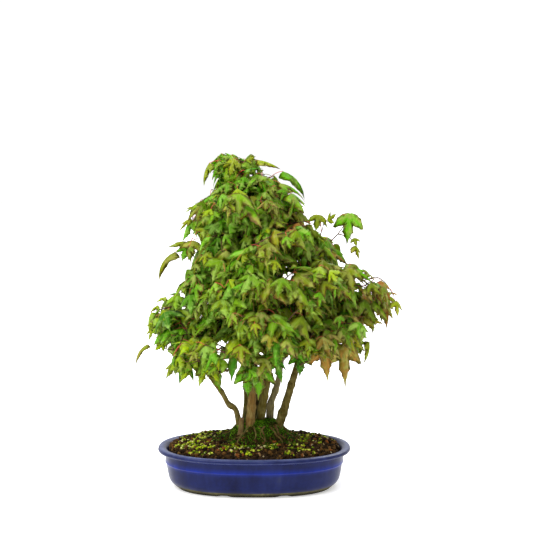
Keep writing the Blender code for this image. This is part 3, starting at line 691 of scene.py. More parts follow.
# where each branch's spray of leaves is centred
SPRAYS = {
    "tree_front": [(-24, 4, 534), (-57, 6, 494), (24, -6, 510), (-15, -58, 452), (-82, -6, 432),
                   (-60, -66, 402), (4, -98, 392), (-46, -108, 322), (2, -122, 282), (-42, -110, 232),
                   (-4, -92, 196)],
    "tree_left": [(-154, 0, 276), (-118, -62, 252), (-116, 58, 256), (-158, 4, 216), (-98, -80, 206),
                  (-66, -62, 176)],
    "tree_back_left": [(-10, 66, 448), (-52, 72, 404), (-112, -4, 372), (-106, 48, 346),
                       (-88, -62, 336), (-50, 114, 318)],
    "tree_centre": [(48, 0, 452), (60, -46, 414), (64, 50, 406), (12, 92, 384), (52, -110, 340),
                    (6, -120, 340)],
    "tree_back": [(44, 108, 322), (-2, 114, 246), (-80, 88, 214)],
    "tree_mid_right": [(124, -4, 392), (96, 48, 366), (94, -58, 360), (140, 60, 282), (108, 76, 214)],
    "tree_right": [(170, -20, 322), (200, 12, 286), (150, -70, 270), (160, -6, 228), (122, -72, 204),
                   (80, -104, 232), (44, -118, 272)],
}
# more branches that fill the crown between them
FILLS = {
    "tree_mid_right": [(85, -30, 300), (100, 30, 310)],
    "tree_right": [(60, -72, 300), (118, -40, 238), (164, -30, 236)],
    "tree_front": [(-10, -62, 272), (-62, -50, 282), (-56, -4, 458), (6, -20, 478)],
    "tree_back_left": [(-84, -26, 404), (-96, 12, 424)],
    "tree_left": [(-118, -10, 226), (-150, -14, 264), (-128, -20, 290)],
}


def unit(vector):
    """The vectors scaled to length one, along the last axis."""
    vector = np.asarray(vector, float)
    return vector / np.linalg.norm(vector, axis=-1, keepdims=True)


def square_to(vectors, ways):
    """Unit vectors: each vector less its part along its way."""
    return unit(vectors - ways * (vectors * ways).sum(axis=1, keepdims=True))


def rod(path, radii, sides, bumps=0.0, seed=0):
    """Round bar along a path: point + radius * (cos a * side + sin a * up)."""
    path = np.asarray(path, float)
    along = unit(np.gradient(path, axis=0))
    side = unit(np.cross(along, [0.31, 0.87, 0.38]))
    up = np.cross(along, side)
    turn = np.arange(sides) * 2.0 * math.pi / sides
    spread = (np.cos(turn)[None, :, None] * side[:, None]
              + np.sin(turn)[None, :, None] * up[:, None])
    radius = np.broadcast_to(np.asarray(radii, float)[:, None], (len(path), sides))
    if bumps:
        skin = path[:, None] + spread * radius[..., None]
        radius = radius * (1.0 + bumps * wobble(skin, 260.0, seed))
    points = (path[:, None] + spread * radius[..., None]).reshape(-1, 3)
    return points, closed_faces(len(path), sides)


def join(parts):
    """Several (points, faces) as one; returns points, faces, and which part each is."""
    points = np.vstack([part[0] for part in parts])
    starts = np.cumsum([0] + [len(part[0]) for part in parts])
    faces = [block + start for part, start in zip(parts, starts) for block in part[1]]
    owner = np.repeat(np.arange(len(parts)), [len(part[0]) for part in parts])
    return points, faces, owner


def spray_start(centre):
    """Foot and heading of a spray: outward from the crown's axis, turned up near it.

    The lowest sprays spring from a little above their centres and hang.
    """
    centre = np.array(centre) / 1000.0
    centre[2] += 0.5 * max(0.0, 0.225 - centre[2])
    outward = np.array([centre[0] - CROWN_X, centre[1], 0.0])
    near = max(0.0, 1.0 - np.linalg.norm(outward) / CROWN_RADIUS)
    outward /= max(np.linalg.norm(outward), CROWN_RADIUS)
    heading = unit(outward + [0.0, 0.0, 0.25 + near])
    return centre - heading * SPRAY_REACH, heading


def branch_route(route, foot, heading):
    """Bezier from the trunk, leaving along its rise, to a spray's foot."""
    reach = np.linalg.norm((route - foot)[:, :2], axis=1)
    miss = np.abs(route[:, 2] - (foot[2] - BRANCH_RISE * reach))
    miss[route[:, 2] < LOWEST_BRANCH] = 9.0
    at = min(int(np.argmin(miss)), len(route) - 3)
    start = route[at]
    span = np.linalg.norm(foot - start)
    along = unit(route[at + 1] - route[at - 1])
    first = start + (along * 0.20 + unit(foot - start) * 0.18) * span
    second = foot - heading * 0.30 * span
    t = np.linspace(0.0, 1.0, 14)[:, None]
    line = ((1 - t) ** 3 * start + 3 * (1 - t) ** 2 * t * first
            + 3 * (1 - t) * t ** 2 * second + t ** 3 * foot)
    kink = wobble(line, 160.0, 8)[:, None] * np.sin(t * math.pi) * 0.0016
    return line + kink * [0.6, 0.3, 0.7]


bark, tree, shader = new_finish("bark", 0.85, specular=0.08)
tall = on_piece(tree, 0.22)
grain = noise(tree, 520.0, 4.0, tall, 0.6)
blotch = noise(tree, 95.0, 4.0)
crack = grow(tree, "ShaderNodeTexVoronoi", {"feature": "DISTANCE_TO_EDGE"},
             {"Vector": tall, "Scale": 330.0})
skin = attribute(tree, "bark", "Color")
tone = skin.mix((blotch * 2.6 - 1.0).clamp() * 0.60, (0.330, 0.280, 0.095))
tone = tone.mix((grain * 2.6 - 1.1).clamp() * 0.75, (0.024, 0.017, 0.005))
lichen = noise(tree, 150.0).step(0.56, 0.66) * attribute(tree, "foot") * 0.8
feed(tree, shader, Base_Color=tone.mix(lichen, (0.050, 0.085, 0.015)),
     Normal=(grain * 0.7 + crack.step(0.0, 0.12) * 0.4).bump(0.8, 0.0009))

for number, (name, (route, low, high, colour, knots)) in enumerate(TRUNKS.items()):
    route = np.array(route) / 1000.0
    down = unit(route[0] - route[1])
    line = smooth_rows(np.vstack([route[0] + down * 0.010, route]), 9)
    share = np.linspace(0.0, 1.0, len(line))
    low, high = low / 1000.0, high / 1000.0
    radii = high + (low - high) * (1.0 - share) ** 0.8
    radii = radii * (0.92 + 0.28 * np.exp(-(line[:, 2] - line[0, 2]) / 0.008))
    for knot in knots:
        radii = radii * (1.0 + 0.20 * np.exp(-((line[:, 2] - knot / 1000.0) / 0.0035) ** 2))
    parts = [rod(line, radii, 20, 0.10, number)]
    coarse = smooth_rows(route, 6)
    for centre in SPRAYS[name] + FILLS.get(name, []):
        foot, heading = spray_start(centre)
        limb = branch_route(coarse, foot, heading)
        parts.append(rod(limb, np.linspace(0.0027, 0.0013, len(limb)), 9, 0.12, number + 20))
    points, faces, owner = join(parts)
    piece = add_mesh(name.replace("tree", "trunk"), points, faces)
    tint = np.where(owner[:, None] == 0, colour, np.array(colour) * 0.55)
    paint(piece, "bark", tint)
    paint(piece, "foot", np.clip(1.0 - (points[:, 2] - 0.100) / 0.030, 0.0, 1.0))
    piece.data.materials.append(bark)
    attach(piece, "root")
    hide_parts(name)

# stub of a cut trunk, pale where it was sawn
stub = smooth_rows(np.array([(-0.0225, -0.0255, 0.0790), (-0.0208, -0.0260, 0.0890),
                             (-0.0190, -0.0270, 0.1115)]), 8)
points, faces = rod(stub, np.linspace(0.0056, 0.0038, len(stub)), 18, 0.10, 40)
piece = add_mesh("cut_stub", points, faces)
paint(piece, "bark", np.where(points[:, 2:] > 0.1108, (0.300, 0.190, 0.090), (0.140, 0.075, 0.028)))
paint(piece, "foot", np.clip(1.0 - (points[:, 2] - 0.086) / 0.012, 0.0, 1.0))
piece.data.materials.append(bark)
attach(piece, "root")
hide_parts("cut_stump")

# surface roots over the mound, from the trunks' feet down to the soil
# as (angle round the mound in degrees, radius, how far down it runs, swing)
ROOTS = [(-60, 0.0022, 1.00, 0.10), (-74, 0.0017, 0.80, -0.14), (-90, 0.0019, 1.00, 0.12),
         (-104, 0.0015, 0.85, 0.08), (-118, 0.0024, 0.95, -0.10), (-140, 0.0021, 0.90, 0.12),
         (-46, 0.0016, 0.80, 0.06), (-34, 0.0023, 0.95, -0.10), (-16, 0.0022, 0.90, 0.10),
         (165, 0.0022, 0.90, 0.12), (20, 0.0022, 0.85, -0.10), (60, 0.0021, 0.90, 0.10),
         (100, 0.0022, 0.90, -0.12), (135, 0.0021, 0.90, 0.10)]
parts = []
for degrees, radius, run, swing in ROOTS:
    rows = np.linspace(len(steps) - 20, (len(steps) - 1) * (1.0 - run), 22)
    turn = math.radians(degrees) + swing * np.sin(np.linspace(0.0, 3.0, 22)) * 1.6
    column = (turn / (2.0 * math.pi) * mound_sides).astype(int) % mound_sides
    line = hill[rows.astype(int), column]
    line = np.array([np.convolve(np.pad(line[:, k], 2, "edge"), np.ones(5) / 5, "valid")
                     for k in range(3)]).T
    line[:, 2] += radius * 0.25
    parts.append(rod(line, radius * np.linspace(1.0, 0.40, 22), 10, 0.18, 50 + degrees % 7))
points, faces, owner = join(parts)
roots = add_mesh("surface_roots", points, faces)
paint(roots, "bark", np.broadcast_to((0.100, 0.050, 0.014), (len(points), 3)))
paint(roots, "foot", np.full(len(points), 0.75))
roots.data.materials.append(bark)
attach(roots, "root")

# ---- leaves ---------------------------------------------------------------------------------
# Thin three-lobed maple leaves on pink stalks, most of them along short shoots at the
# branches' ends.  Each hangs from its stalk, folded down along its veins and drooping
# to a long toothed tip; the youngest are small and flushed red.
# one half of the blade, length 1: x along the midrib, y out from it, drop below the veins
LEAF_HALF = np.array([
    (0.135, 0.085, 0.55), (0.325, 0.165, 1.00),
    (0.09, 0.115, 0.00), (0.180, 0.240, 0.00), (0.275, 0.370, 0.00), (0.405, 0.550, 0.00),
    (-0.05, 0.060, 0.45), (-0.06, 0.170, 0.85), (0.010, 0.320, 0.85), (0.155, 0.450, 0.60),
    (-0.045, 0.275, 0.95), (0.060, 0.430, 0.80), (0.265, 0.500, 0.35),
    (0.365, 0.365, 0.70), (0.345, 0.255, 1.00), (0.420, 0.450, 0.35),
    (0.45, 0.190, 1.00), (0.61, 0.155, 0.90), (0.77, 0.072, 0.55),
    (0.52, 0.235, 1.00), (0.69, 0.150, 0.80), (0.87, 0.034, 0.40)])
LEAF_MID = np.array([(0.0, 0, 0), (0.15, 0, 0), (0.29, 0, 0), (0.43, 0, 0), (0.61, 0, 0),
                     (0.79, 0, 0), (1.0, 0, 0)])
# points of the half: 0 web, 1 sinus, 2-5 side vein, 6-9 outer edge, 10-12 its teeth,
# 13-15 inner edge, 16-21 edge of the middle lobe
HALF_FACES = [("m0", "m1", 0), ("m1", "m2", 1, 0), ("m0", 0, 2), (0, 1, 3, 2),
              ("m0", 2, 7, 6), (2, 3, 8, 10, 7), (3, 4, 9, 11, 8), (4, 5, 12, 9),
              (1, 14, 13, 4, 3), (13, 15, 5, 4),
              ("m2", "m3", 16, 1), ("m3", "m4", 17, 19, 16), ("m4", "m5", 18, 20, 17),
              ("m5", "m6", 21, 18)]


def leaf_net():
    """Points of a flat leaf and its faces: top skin, then the under skin.

    The two skins share the edge, and only the veins are set apart by the thickness.
    """
    half = len(LEAF_HALF)
    middle = len(LEAF_MID)
    net = np.vstack([LEAF_MID, LEAF_HALF, LEAF_HALF * [1.0, -1.0, 1.0]])
    inner = list(range(middle - 1)) + [middle + i for i in (0, 2, 3, 4)]
    inner += [middle + half + i for i in (0, 2, 3, 4)]
    under = np.arange(len(net))
    under[inner] = len(net) + np.arange(len(inner))
    top = []
    for face in HALF_FACES:
        for start, order in ((middle, 1), (middle + half, -1)):
            top.append([int(i[1:]) if isinstance(i, str) else start + i for i in face][::order])
    low = [[int(under[i]) for i in face[::-1]] for face in top]
    sink = np.concatenate([np.zeros(len(net)), np.ones(len(inner))])
    edge = np.ones(len(net))
    edge[inner] = 0.0
    return (np.vstack([net, net[inner]]), sink, np.concatenate([edge, np.zeros(len(inner))]),
            top, low)


flat, sink, rim, top_faces, low_faces = leaf_net()


def leaf_points(base, tip_way, normal, size, wide, slim, curl, fold, drop_out, twist):
    """Leaves as an array (n, points, 3).

    A flat point (x, y, d) becomes: x bent round a circle of the given curl, y widened and
    the middle lobe slimmed, lowered by fold * (0.17 d + 0.5 |y|) + drop_out * y^2, turned
    about the midrib by twist * x, then laid along tip_way with its top towards normal.
    """
    x = flat[None, :, 0]
    y = flat[None, :, 1] * wide[:, None]
    y = y * (1.0 - slim[:, None] * np.clip((x - 0.40) / 0.25, 0.0, 1.0))
    curl = curl[:, None]
    bend = curl * np.clip(x, 0.0, None)
    long = np.where(x > 0, np.sin(bend) / curl, x)
    drop = (1.0 - np.cos(bend)) / curl
    drop = drop + fold[:, None] * (0.17 * flat[None, :, 2] + 0.5 * np.abs(y))
    drop = drop + drop_out[:, None] * y ** 2 + sink[None, :] * 0.006
    lean = twist[:, None] * x
    out = y * np.cos(lean) + drop * np.sin(lean)
    drop = drop * np.cos(lean) - y * np.sin(lean)
    across = np.cross(normal, tip_way)
    local = (long[..., None] * tip_way[:, None] + out[..., None] * across[:, None]
             - drop[..., None] * normal[:, None])
    return base[:, None] + local * size[:, None, None]


def bowed(start, end, rise, steps=5):
    """Stalks from start to end, bowed up by rise: 4 t (1 - t) of it at t."""
    t = np.linspace(0.0, 1.0, steps)[None, :, None]
    arch = (4.0 * t * (1.0 - t)) * rise[:, None, None]
    return start[:, None] + (end - start)[:, None] * t + arch * [0.0, 0.0, 1.0]


FRESH, LIME, OLIVE, DEEP, RED, BROWN = range(6)
TONES = np.array([(0.200, 0.680, 0.006), (0.680, 0.840, 0.006), (0.470, 0.520, 0.010),
                  (0.060, 0.360, 0.005), (0.580, 0.150, 0.040), (0.600, 0.250, 0.055)])


def leaf_tones(places):
    """A mix of the tones by place: yellower and brighter to the left and more olive to the right as
    painted light and shade, redder to the right.
    """
    number = len(places)
    side = places[:, 0]
    high = places[:, 2] - 0.30
    # more lime to the left is painted light and more olive to the right is painted shade; red and
    # brown to the right are the leaves' own colour
    weights = np.column_stack([
        np.full(number, 1.5) + 5.0 * high.clip(0.0, 1.0),
        (0.60 - 5.5 * side).clip(0.15, 2.0), (0.60 + 2.5 * side).clip(0.2, 1.5),
        np.full(number, 0.70), (0.10 + 1.4 * side).clip(0.05, 0.45),
        (0.03 + 0.6 * side).clip(0.0, 0.25)])
    parts = weights * rng.gamma(0.42, 1.0, weights.shape)
    tone = (parts[..., None] * TONES).sum(axis=1) / parts.sum(axis=1)[:, None]
    return tone * rng.uniform(0.55, 1.15, (number, 1))


def leaf_finish(name, under):
    """Blade seen from above, or its paler underside, with patches of painted sheen; both let light
    through.
    """
    made, tree, shader = new_finish(name, 0.6 if under else 0.42, specular=0.08 if under else 0.22)
    uv = grow(tree, "ShaderNodeUVMap", {"uv_map": "leaf"}, {})
    u = grow(tree, "ShaderNodeSeparateXYZ", {}, {0: uv}, 0)
    v = grow(tree, "ShaderNodeSeparateXYZ", {}, {0: uv}, 1).math("ABSOLUTE")
    # midrib and side veins, then the fine veins that leave them slantwise
    main = v.math("MINIMUM", (v * 0.573 - u * 0.819).math("ABSOLUTE"))
    ribs = 1.0 - main.step(0.004, 0.015)
    fine = ((u - v * 1.15) * 15.0).math("FRACT") - 0.5
    fine = 1.0 - fine.math("ABSOLUTE").step(0.03, 0.13)
    tone = attribute(tree, "leaf_colour", "Color")
    blotch = noise(tree, 240.0)
    edge = attribute(tree, "edge")
    flush = attribute(tree, "flush")
    margin = ((edge ** 2.0) * (0.20 + flush * 1.7) * (blotch + 0.3)).clamp()
    tone = tone.mix((blotch * 2.4 - 0.8).clamp() * 0.38, (0.070, 0.260, 0.003))
    tone = tone.mix(margin, (0.260, 0.075, 0.018))
    # bright green patches of painted sheen, pinkish on flushed leaves
    painted_sheen = blend(tree, flush, (0.540, 0.860, 0.170), (0.780, 0.500, 0.180))
    tone = tone.mix(noise(tree, 75.0).step(0.48, 0.62) * 0.50, painted_sheen)
    if under:
        tone = tone.mix(0.35, (0.400, 0.520, 0.110))
    tone = tone.mix(fine * 0.14, (0.400, 0.540, 0.040))
    tone = tone.mix(ribs * 0.50, (0.480, 0.580, 0.100))
    feed(tree, shader, Base_Color=tone, Roughness=(0.50 if under else 0.36) + blotch * 0.2,
         Normal=(blotch * 0.8 - ribs * 0.7 - fine * 0.35).bump(0.7, 0.0008))
    through = grow(tree, "ShaderNodeBsdfTranslucent", {}, {
        "Color": tone.mix(0.40, (0.480, 0.800, 0.001))})
    both = grow(tree, "ShaderNodeMixShader", {}, {
        0: 0.42, 1: Flow(tree, shader.outputs[0]), 2: through})
    tree.links.new(both.socket, tree.nodes["Material Output"].inputs["Surface"])
    return made


stalk, tree, shader = new_finish("stalk_and_twig", 0.55, specular=0.3)
streak = noise(tree, 600.0, 2.0)
feed(tree, shader, Base_Color=attribute(tree, "leaf_colour", "Color").mix(
    (streak * 1.8 - 0.6).clamp() * 0.4, (0.070, 0.030, 0.012)))
leaf_finishes = (stalk, leaf_finish("leaf_top", False), leaf_finish("leaf_underside", True))


def leafy_mesh(name, rods, rod_tones, blades, tones, flush):
    """One piece of rods and leaves, with the colours, edges and leaf UV painted on."""
    points, faces, owner = join(rods)
    woody = len(points)
    wood_faces = sum(len(block) for block in faces)
    count = len(blades)
    per = len(flat)
    shift = woody + np.arange(count) * per
    for face in top_faces + low_faces:
        faces.append(np.array(face)[None, :] + shift[:, None])
    piece = add_mesh(name, np.vstack([points, blades.reshape(-1, 3)]), faces)
    slots = np.zeros(len(piece.data.polygons), np.int32)
    slots[wood_faces:] = 1
    slots[wood_faces + len(top_faces) * count:] = 2
    for finish in leaf_finishes:
        piece.data.materials.append(finish)
    piece.data.polygons.foreach_set("material_index", slots)
    paint(piece, "leaf_colour", np.vstack([np.array(rod_tones)[owner],
                                           np.repeat(tones, per, axis=0)]))
    paint(piece, "edge", np.concatenate([np.zeros(woody), np.tile(rim, count)]))
    paint(piece, "flush", np.concatenate([np.zeros(woody), np.repeat(flush, per)]))
    layer = piece.data.uv_layers.new(name="leaf")
    spread = np.vstack([np.zeros((woody, 2)), np.tile(flat[:, :2], (count, 1))])
    corner = np.empty(len(piece.data.loops), np.int32)
    piece.data.loops.foreach_get("vertex_index", corner)
    layer.data.foreach_set("uv", spread[corner].astype(np.float32).ravel())
    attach(piece, "root")
    return piece


# the crown's outline as seen from in front and a little above, as (x, z) in millimetres
# where the line of sight crosses the upright plane through the trunks
CROWN = np.array([
    (-55, 519), (-37, 521), (-12, 517), (4, 514), (12, 500), (20, 486), (40, 479), (57, 470),
    (73, 455), (82, 440), (86, 420), (92, 404), (117, 386), (134, 376), (146, 359), (172, 344),
    (182, 328), (200, 320), (218, 306), (224, 286), (222, 264), (206, 250), (190, 240), (182, 222),
    (166, 205), (150, 200), (135, 190), (115, 188), (90, 192), (74, 184), (55, 198), (40, 178),
    (22, 172), (10, 150), (-12, 152), (-24, 168), (-34, 172), (-42, 192), (-52, 155), (-75, 166),
    (-86, 162), (-100, 172), (-115, 164), (-134, 175), (-130, 205), (-155, 216), (-166, 235),
    (-165, 262), (-150, 290), (-116, 306), (-106, 324), (-112, 340), (-94, 352), (-104, 364),
    (-128, 364), (-110, 384), (-90, 392), (-112, 404), (-104, 426), (-74, 452), (-68, 464), (-50, 470),
    (-64, 480), (-80, 490), (-72, 504)]) / 1000.0
# gaps where the sky shows through it: (x, z, half width, half height)
GAPS = np.array([
    (-50, 212, 5, 14), (55, 329, 3, 5), (-88, 378, 5, 6), (-89, 186, 5, 6), (-28, 189, 3, 7),
    (134, 212, 2, 9), (52, 287, 1, 2), (28, 266, 2, 1), (-6, 288, 1, 2), (-80, 267, 1, 2),
    (-92, 238, 2, 2), (145, 264, 2, 1), (120, 261, 2, 1), (100, 277, 1, 1), (-58, 350, 1, 2)]) / 1000.0


def as_seen(points):
    """Points carried along the line of sight to the plane y = 0, as (x, z)."""
    eye = np.array(CAMERA_PLACE)
    share = -eye[1] / (points[..., 1] - eye[1])
    seen = eye + (points - eye) * share[..., None]
    return seen[..., [0, 2]]


def in_outline(spots, outline):
    """True for (x, z) spots inside the closed outline, counting its crossings."""
    x = spots[..., 0, None]
    z = spots[..., 1, None]
    x0, z0 = outline.T
    x1, z1 = np.roll(outline, -1, axis=0).T
    crosses = (z0 > z) != (z1 > z)
    rise = np.where(z1 == z0, 1e-9, z1 - z0)
    return (crosses & (x < x0 + (z - z0) / rise * (x1 - x0))).sum(axis=-1) % 2 == 1


def fits_crown(blades):
    """Leaves whose lobes lie in the outline, out of the gaps and in the object's box."""
    seen = as_seen(blades)
    keys = [0, len(LEAF_MID) - 1, 3, len(LEAF_MID) + 5, len(LEAF_MID) + len(LEAF_HALF) + 5]
    inside = in_outline(seen[:, keys], CROWN).all(axis=1)
    far = ((seen[:, :, None, 0] - GAPS[:, 0]) / GAPS[:, 2]) ** 2
    far = far + ((seen[:, :, None, 1] - GAPS[:, 1]) / GAPS[:, 3]) ** 2
    boxed = ((blades.min(axis=1) > np.array(cad_box[0]) + 0.0005).all(axis=1)
             & (blades.max(axis=1) < np.array(cad_box[1]) - 0.0005).all(axis=1))
    return inside & (far > 1.0).all(axis=(1, 2)) & boxed


SHOOTS = 6
CROWN_TOP = 0.498
BUD_PLACES = (0.30, 0.62, 1.0)
LEAF_LONG = 0.046
TWIG_TONE = (0.120, 0.060, 0.022)
STALK_TONES = np.array([(0.750, 0.090, 0.060), (0.560, 0.180, 0.060), (0.380, 0.330, 0.030)])


def leaf_spray(name, foot, heading):
    """One spray: shoots fanned round the branch's end, with leaves in pairs on each.

    Shoots are cut back to their last leaf inside the crown.
    """
    sky = np.array([0.0, 0.0, 1.0])
    t = np.linspace(0.0, 1.0, 8)[:, None]
    main = foot + heading * 0.048 * t - sky * 0.009 * t ** 2
    shoots = [(main, heading, 1.0)]
    for index in range(SHOOTS - 1):
        fan = rng.normal(0.0, 1.0, 3) * [1.0, 1.0, 0.75]
        way = unit(heading * 0.55 + unit(fan) * 0.85 + sky * 0.10)
        at = (0, 1, 3, 4, 6)[index]
        long = rng.uniform(0.028, 0.052)
        shoots.append((main[at] + way * long * t - sky * long * 0.22 * t ** 2, way, at / 7.0))
    limits = []
    for line, _, at in shoots:
        line[:, 2] -= 0.7 * np.clip(line[:, 2] - CROWN_TOP, 0.0, None)
        outside = np.append(~in_outline(as_seen(line), CROWN), True)
        limits.append(np.argmax(outside) / 8.0)
        if len(limits) > 1 and at > limits[0]:
            limits[-1] = 0.0
    limits = np.array(limits)
    buds = []
    for shoot, (line, way, _) in enumerate(shoots):
        side = unit(np.cross(sky, way))
        lift = np.cross(way, side)
        for index, place in enumerate(BUD_PLACES):
            spot = [np.interp(place, t[:, 0], line[:, k]) for k in range(3)]
            roll = index * 1.25 + rng.uniform(-0.5, 0.5)
            pair = side * math.cos(roll) + lift * math.sin(roll)
            for out in (pair, -pair) + ((way * 1.5,) if place == 1.0 else ()):
                buds.append((*spot, *(way * 0.5 + out), place, shoot))
    buds = np.array(buds)
    number = len(buds)
    spots = buds[:, :3]
    ages = buds[:, 6]
    outs = unit(buds[:, 3:6] + rng.normal(0.0, 0.25, (number, 3)))
    stalk_long = rng.uniform(0.008, 0.022, number)
    base = spots + outs * stalk_long[:, None] - sky * (stalk_long * 0.3)[:, None]
    away = unit((base - [CROWN_X, 0.0, 0.0]) * [1.0, 1.0, 0.0] + outs * 0.03)
    size = rng.uniform(0.55, 1.12, number) * LEAF_LONG * (1.12 - 0.30 * ages)
    level = unit(outs * [1.0, 1.0, 0.3] + away * 0.5)
    hang = rng.uniform(0.15, 1.25, (number, 1))
    tip_way = unit(level * 0.75 - sky * hang + rng.normal(0.0, 0.18, (number, 3)))
    normal = sky * 0.65 + level * 0.50 + away * 0.25 + rng.normal(0.0, 0.32, (number, 3))
    normal = square_to(normal, tip_way)
    blades = leaf_points(base, tip_way, normal, size, rng.uniform(0.72, 1.08, number),
                         rng.uniform(0.0, 0.5, number), rng.uniform(0.25, 1.20, number),
                         rng.uniform(0.10, 1.10, number), rng.uniform(-0.2, 0.8, number),
                         rng.normal(0.0, 0.3, number))
    keep = np.flatnonzero(fits_crown(blades) & in_outline(as_seen(spots), CROWN)
                          & (ages <= limits[buds[:, 7].astype(int)]))
    rods = []
    rod_tones = []
    needed = 0.35
    for shoot, (line, way, at) in reversed(list(enumerate(shoots))):
        kept = ages[keep][buds[keep, 7] == shoot]
        reach = max([*kept, needed if shoot == 0 else 0.0])
        if reach == 0.0:
            continue
        needed = max(needed, at)
        length = reach * t
        cut = np.stack([np.interp(length[:, 0], t[:, 0], line[:, k]) for k in range(3)], axis=1)
        rods.append(rod(cut, np.linspace(0.0011, 0.0006, 8), 6))
        rod_tones.append(TWIG_TONE)
    stalks = bowed(spots, base, stalk_long * 0.12)
    for i in keep:
        rods.append(rod(stalks[i], np.linspace(0.00050, 0.00036, 5), 4))
        rod_tones.append(STALK_TONES[rng.integers(0, 3)])
    tones = leaf_tones(base)
    flush = np.clip(rng.normal(0.20, 0.30, number) + base[:, 0] * 1.8 + 0.2 * ages, 0.0, 1.0)
    return leafy_mesh(name, rods, rod_tones, blades[keep], tones[keep], flush[keep])


for name, centres in SPRAYS.items():
    for number, centre in enumerate(centres, 1):
        node = name.replace("tree_", "leaves_") + "_%d" % number
        foot, heading = spray_start(centre)
        piece = leaf_spray(node.replace("leaves", "spray"), foot, heading)
        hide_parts(node)
for name, centres in FILLS.items():
    for number, centre in enumerate(centres, 1):
        foot, heading = spray_start(centre)
        leaf_spray("%s_%d" % (name.replace("tree_", "fill_"), number), foot, heading)

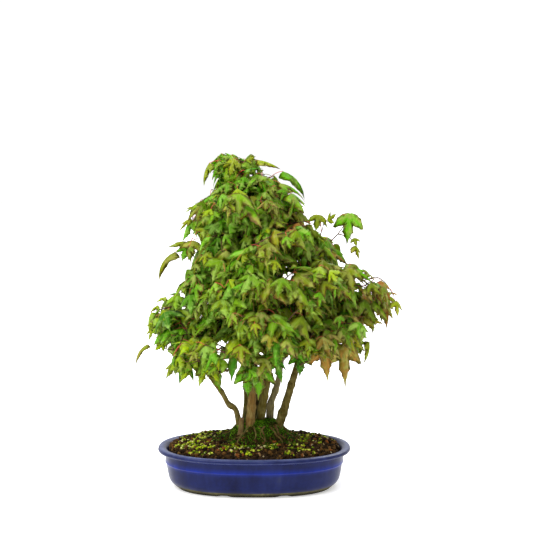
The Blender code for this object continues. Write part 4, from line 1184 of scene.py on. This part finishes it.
# single leaves that stand clear of the crown's edge, each as x and z of the stalk's root, of
# the blade's foot and of its tip, then its depth y in millimetres, curl, facing and tone
UP = (0.2, -0.15, 1.0)
OUT = (0.0, -0.75, 0.55)
RIGHT = (0.55, -0.55, 0.60)
LEFT = (-0.55, -0.55, 0.60)
EDGE_RIGHT = (0.9, -0.1, 0.4)
EDGE_LEFT = (-0.9, -0.1, 0.4)
SINGLES = [
    (-3, 498, 6, 507, 41, 493, 0, 0.5, UP, LIME),
    (24, 479, 44, 490, 77, 447, -10, 1.3, (0.7, 0.0, 0.7), FRESH),
    (12, 488, 12, 476, 26, 441, -30, 0.7, OUT, FRESH),
    (21, 476, 40, 472, 78, 444, -20, 1.0, (0.6, -0.3, 0.7), FRESH),
    (-43, 504, -54, 505, -63, 476, -10, 0.8, LEFT, FRESH),
    (-43, 504, -69, 502, -77, 467, 0, 0.8, (-0.9, -0.2, 0.4), OLIVE),
    (-22, 504, -28, 510, -57, 514, 0, 0.6, (-0.1, -0.7, 0.8), FRESH),
    (-22, 504, -31, 510, -37, 480, -20, 0.8, OUT, OLIVE),
    (-17, 501, -12, 507, 3, 514, -10, 0.5, OUT, OLIVE),
    (-22, 488, -14, 492, 14, 495, -30, 0.6, UP, DEEP),
    (-83, 436, -94, 436, -108, 423, 0, 0.7, UP, OLIVE),
    (-86, 419, -99, 418, -116, 395, -10, 0.7, LEFT, OLIVE),
    (-90, 384, -106, 382, -134, 373, 0, 0.6, LEFT, OLIVE),
    (-90, 376, -122, 366, -145, 316, 0, 1.5, EDGE_LEFT, OLIVE),
    (-90, 376, -103, 378, -111, 352, -10, 0.7, OUT, FRESH),
    (-83, 387, -93, 384, -99, 353, -15, 0.8, OUT, OLIVE),
    (-102, 297, -115, 302, -132, 300, 0, 0.6, UP, FRESH),
    (-127, 291, -136, 297, -152, 288, -10, 0.8, LEFT, LIME),
    (-136, 279, -149, 283, -161, 272, 0, 0.7, LEFT, LIME),
    (-143, 257, -155, 258, -168, 249, 0, 0.7, LEFT, LIME),
    (-146, 250, -157, 250, -163, 227, -10, 0.8, LEFT, OLIVE),
    (-137, 236, -166, 222, -182, 187, 0, 1.4, EDGE_LEFT, OLIVE),
    (-131, 229, -141, 225, -154, 214, -10, 0.6, OUT, LIME),
    (-118, 210, -126, 197, -136, 170, -10, 0.7, LEFT, OLIVE),
    (-106, 203, -115, 191, -115, 158, 0, 0.6, EDGE_LEFT, DEEP),
    (-84, 213, -95, 207, -114, 164, -20, 0.6, OUT, LIME),
    (-90, 210, -100, 194, -94, 164, 0, 0.6, EDGE_RIGHT, DEEP),
    (-62, 200, -76, 194, -84, 158, -20, 0.7, LEFT, LIME),
    (-62, 200, -72, 198, -52, 162, -22, 0.6, OUT, LIME),
    (-62, 210, -59, 207, -53, 146, -10, 0.5, RIGHT, FRESH),
    (-34, 235, -25, 225, -36, 169, -40, 0.6, (0.6, -0.7, 0.4), DEEP),
    (-3, 200, -11, 188, -11, 147, -40, 0.6, OUT, FRESH),
    (6, 210, 9, 192, 7, 144, -50, 0.5, OUT, FRESH),
    (28, 219, 35, 207, 43, 167, -40, 0.6, RIGHT, DEEP),
    (65, 222, 71, 210, 69, 175, -20, 0.5, OUT, DEEP),
    (99, 244, 105, 230, 112, 173, -62, 0.5, OUT, BROWN),
    (138, 244, 136, 228, 139, 162, -52, 0.4, OUT, BROWN),
    (182, 235, 179, 225, 169, 192, 0, 0.8, EDGE_RIGHT, OLIVE),
    (123, 272, 134, 264, 148, 230, -70, 0.6, RIGHT, FRESH),
    (143, 412, 147, 425, 144, 376, 0, 0.4, OUT, FRESH),
    (143, 412, 146, 423, 130, 421, 10, 0.6, UP, BROWN),
    (152, 382, 154, 387, 158, 373, 0, 0.7, OUT, OLIVE),
    (155, 379, 157, 375, 162, 353, 0, 0.7, RIGHT, OLIVE),
    (104, 396, 98, 423, 95, 396, 0, 0.9, OUT, OLIVE),
    (104, 396, 102, 421, 114, 398, 5, 0.9, RIGHT, OLIVE),
    (107, 412, 112, 415, 127, 426, 0, 0.5, OUT, OLIVE),
    (95, 384, 100, 389, 115, 379, -10, 0.7, OUT, LIME),
    (104, 369, 114, 373, 95, 358, -30, 0.6, OUT, LIME),
    (111, 362, 118, 367, 142, 350, -30, 0.7, UP, BROWN),
    (138, 350, 149, 345, 182, 319, -30, 0.8, RIGHT, FRESH),
    (148, 350, 143, 344, 151, 303, -40, 0.6, OUT, OLIVE),
    (180, 322, 197, 321, 210, 288, 0, 0.8, RIGHT, RED),
    (210, 307, 214, 303, 224, 296, 0, 0.6, RIGHT, RED),
    (216, 291, 221, 289, 222, 264, 0, 0.6, RIGHT, OLIVE),
    (201, 286, 207, 283, 204, 247, -5, 0.6, RIGHT, RED),
    (49, 266, 54, 275, 71, 243, -110, 0.6, OUT, FRESH)]
table = np.array([row[:7] for row in SINGLES]) / 1000.0
depth = table[:, 6]
roots_at = np.column_stack([table[:, 0], depth + 0.012, table[:, 1]])
base = np.column_stack([table[:, 2], depth, table[:, 3]])
tips = np.column_stack([table[:, 4], depth - 0.008, table[:, 5]])
curl = np.array([row[7] for row in SINGLES])
tone = np.array([row[9] for row in SINGLES])
chord = unit(tips - base)
normal = square_to(np.array([row[8] for row in SINGLES]), chord)
half_turn = (curl / 2.0)[:, None]
tip_way = chord * np.cos(half_turn) + normal * np.sin(half_turn)
facing = normal * np.cos(half_turn) - chord * np.sin(half_turn)
size = np.linalg.norm(tips - base, axis=1) * curl / (2.0 * np.sin(curl / 2.0))
number = len(SINGLES)
spread = np.where(facing[:, 1] < -0.45, 0.92, 0.60) * rng.uniform(0.9, 1.1, number)
spread = spread - 0.12 * (tone == BROWN) - 0.27 * (curl > 1.2)
blades = leaf_points(base, tip_way, facing, size, spread, 1.35 - 1.3 * spread, curl,
                     rng.uniform(0.3, 1.0, number), rng.uniform(0.0, 0.6, number),
                     rng.normal(0.0, 0.12, number))
stalks = bowed(roots_at, base, np.linalg.norm(base - roots_at, axis=1) * 0.10)
rods = [rod(line, np.linspace(0.00058, 0.00040, 5), 5) for line in stalks]
rod_tones = [STALK_TONES[i] for i in rng.integers(0, 2, number)]
# a few bare twigs at the right carry the outermost of them
for line in ([(100, 10, 360), (117, 6, 380), (129, 4, 393), (137, 5, 404), (144, 10, 414)],
             [(129, 4, 393), (144, 6, 389), (152, 10, 383), (156, 12, 378)],
             [(164, 10, 318), (178, 10, 323), (190, 11, 325), (202, 11, 318), (212, 12, 304),
              (218, 12, 292)],
             [(90, 10, 370), (98, 10, 384), (105, 12, 398), (108, 12, 414)]):
    line = smooth_rows(np.array(line) / 1000.0, 5)
    rods.append(rod(line, np.linspace(0.0011, 0.0006, len(line)), 6))
    rod_tones.append(TWIG_TONE)
tones = TONES[tone] * rng.uniform(0.85, 1.15, (number, 1))
leafy_mesh("edge_leaves", rods, rod_tones, blades, tones, rng.uniform(0.1, 0.8, number))
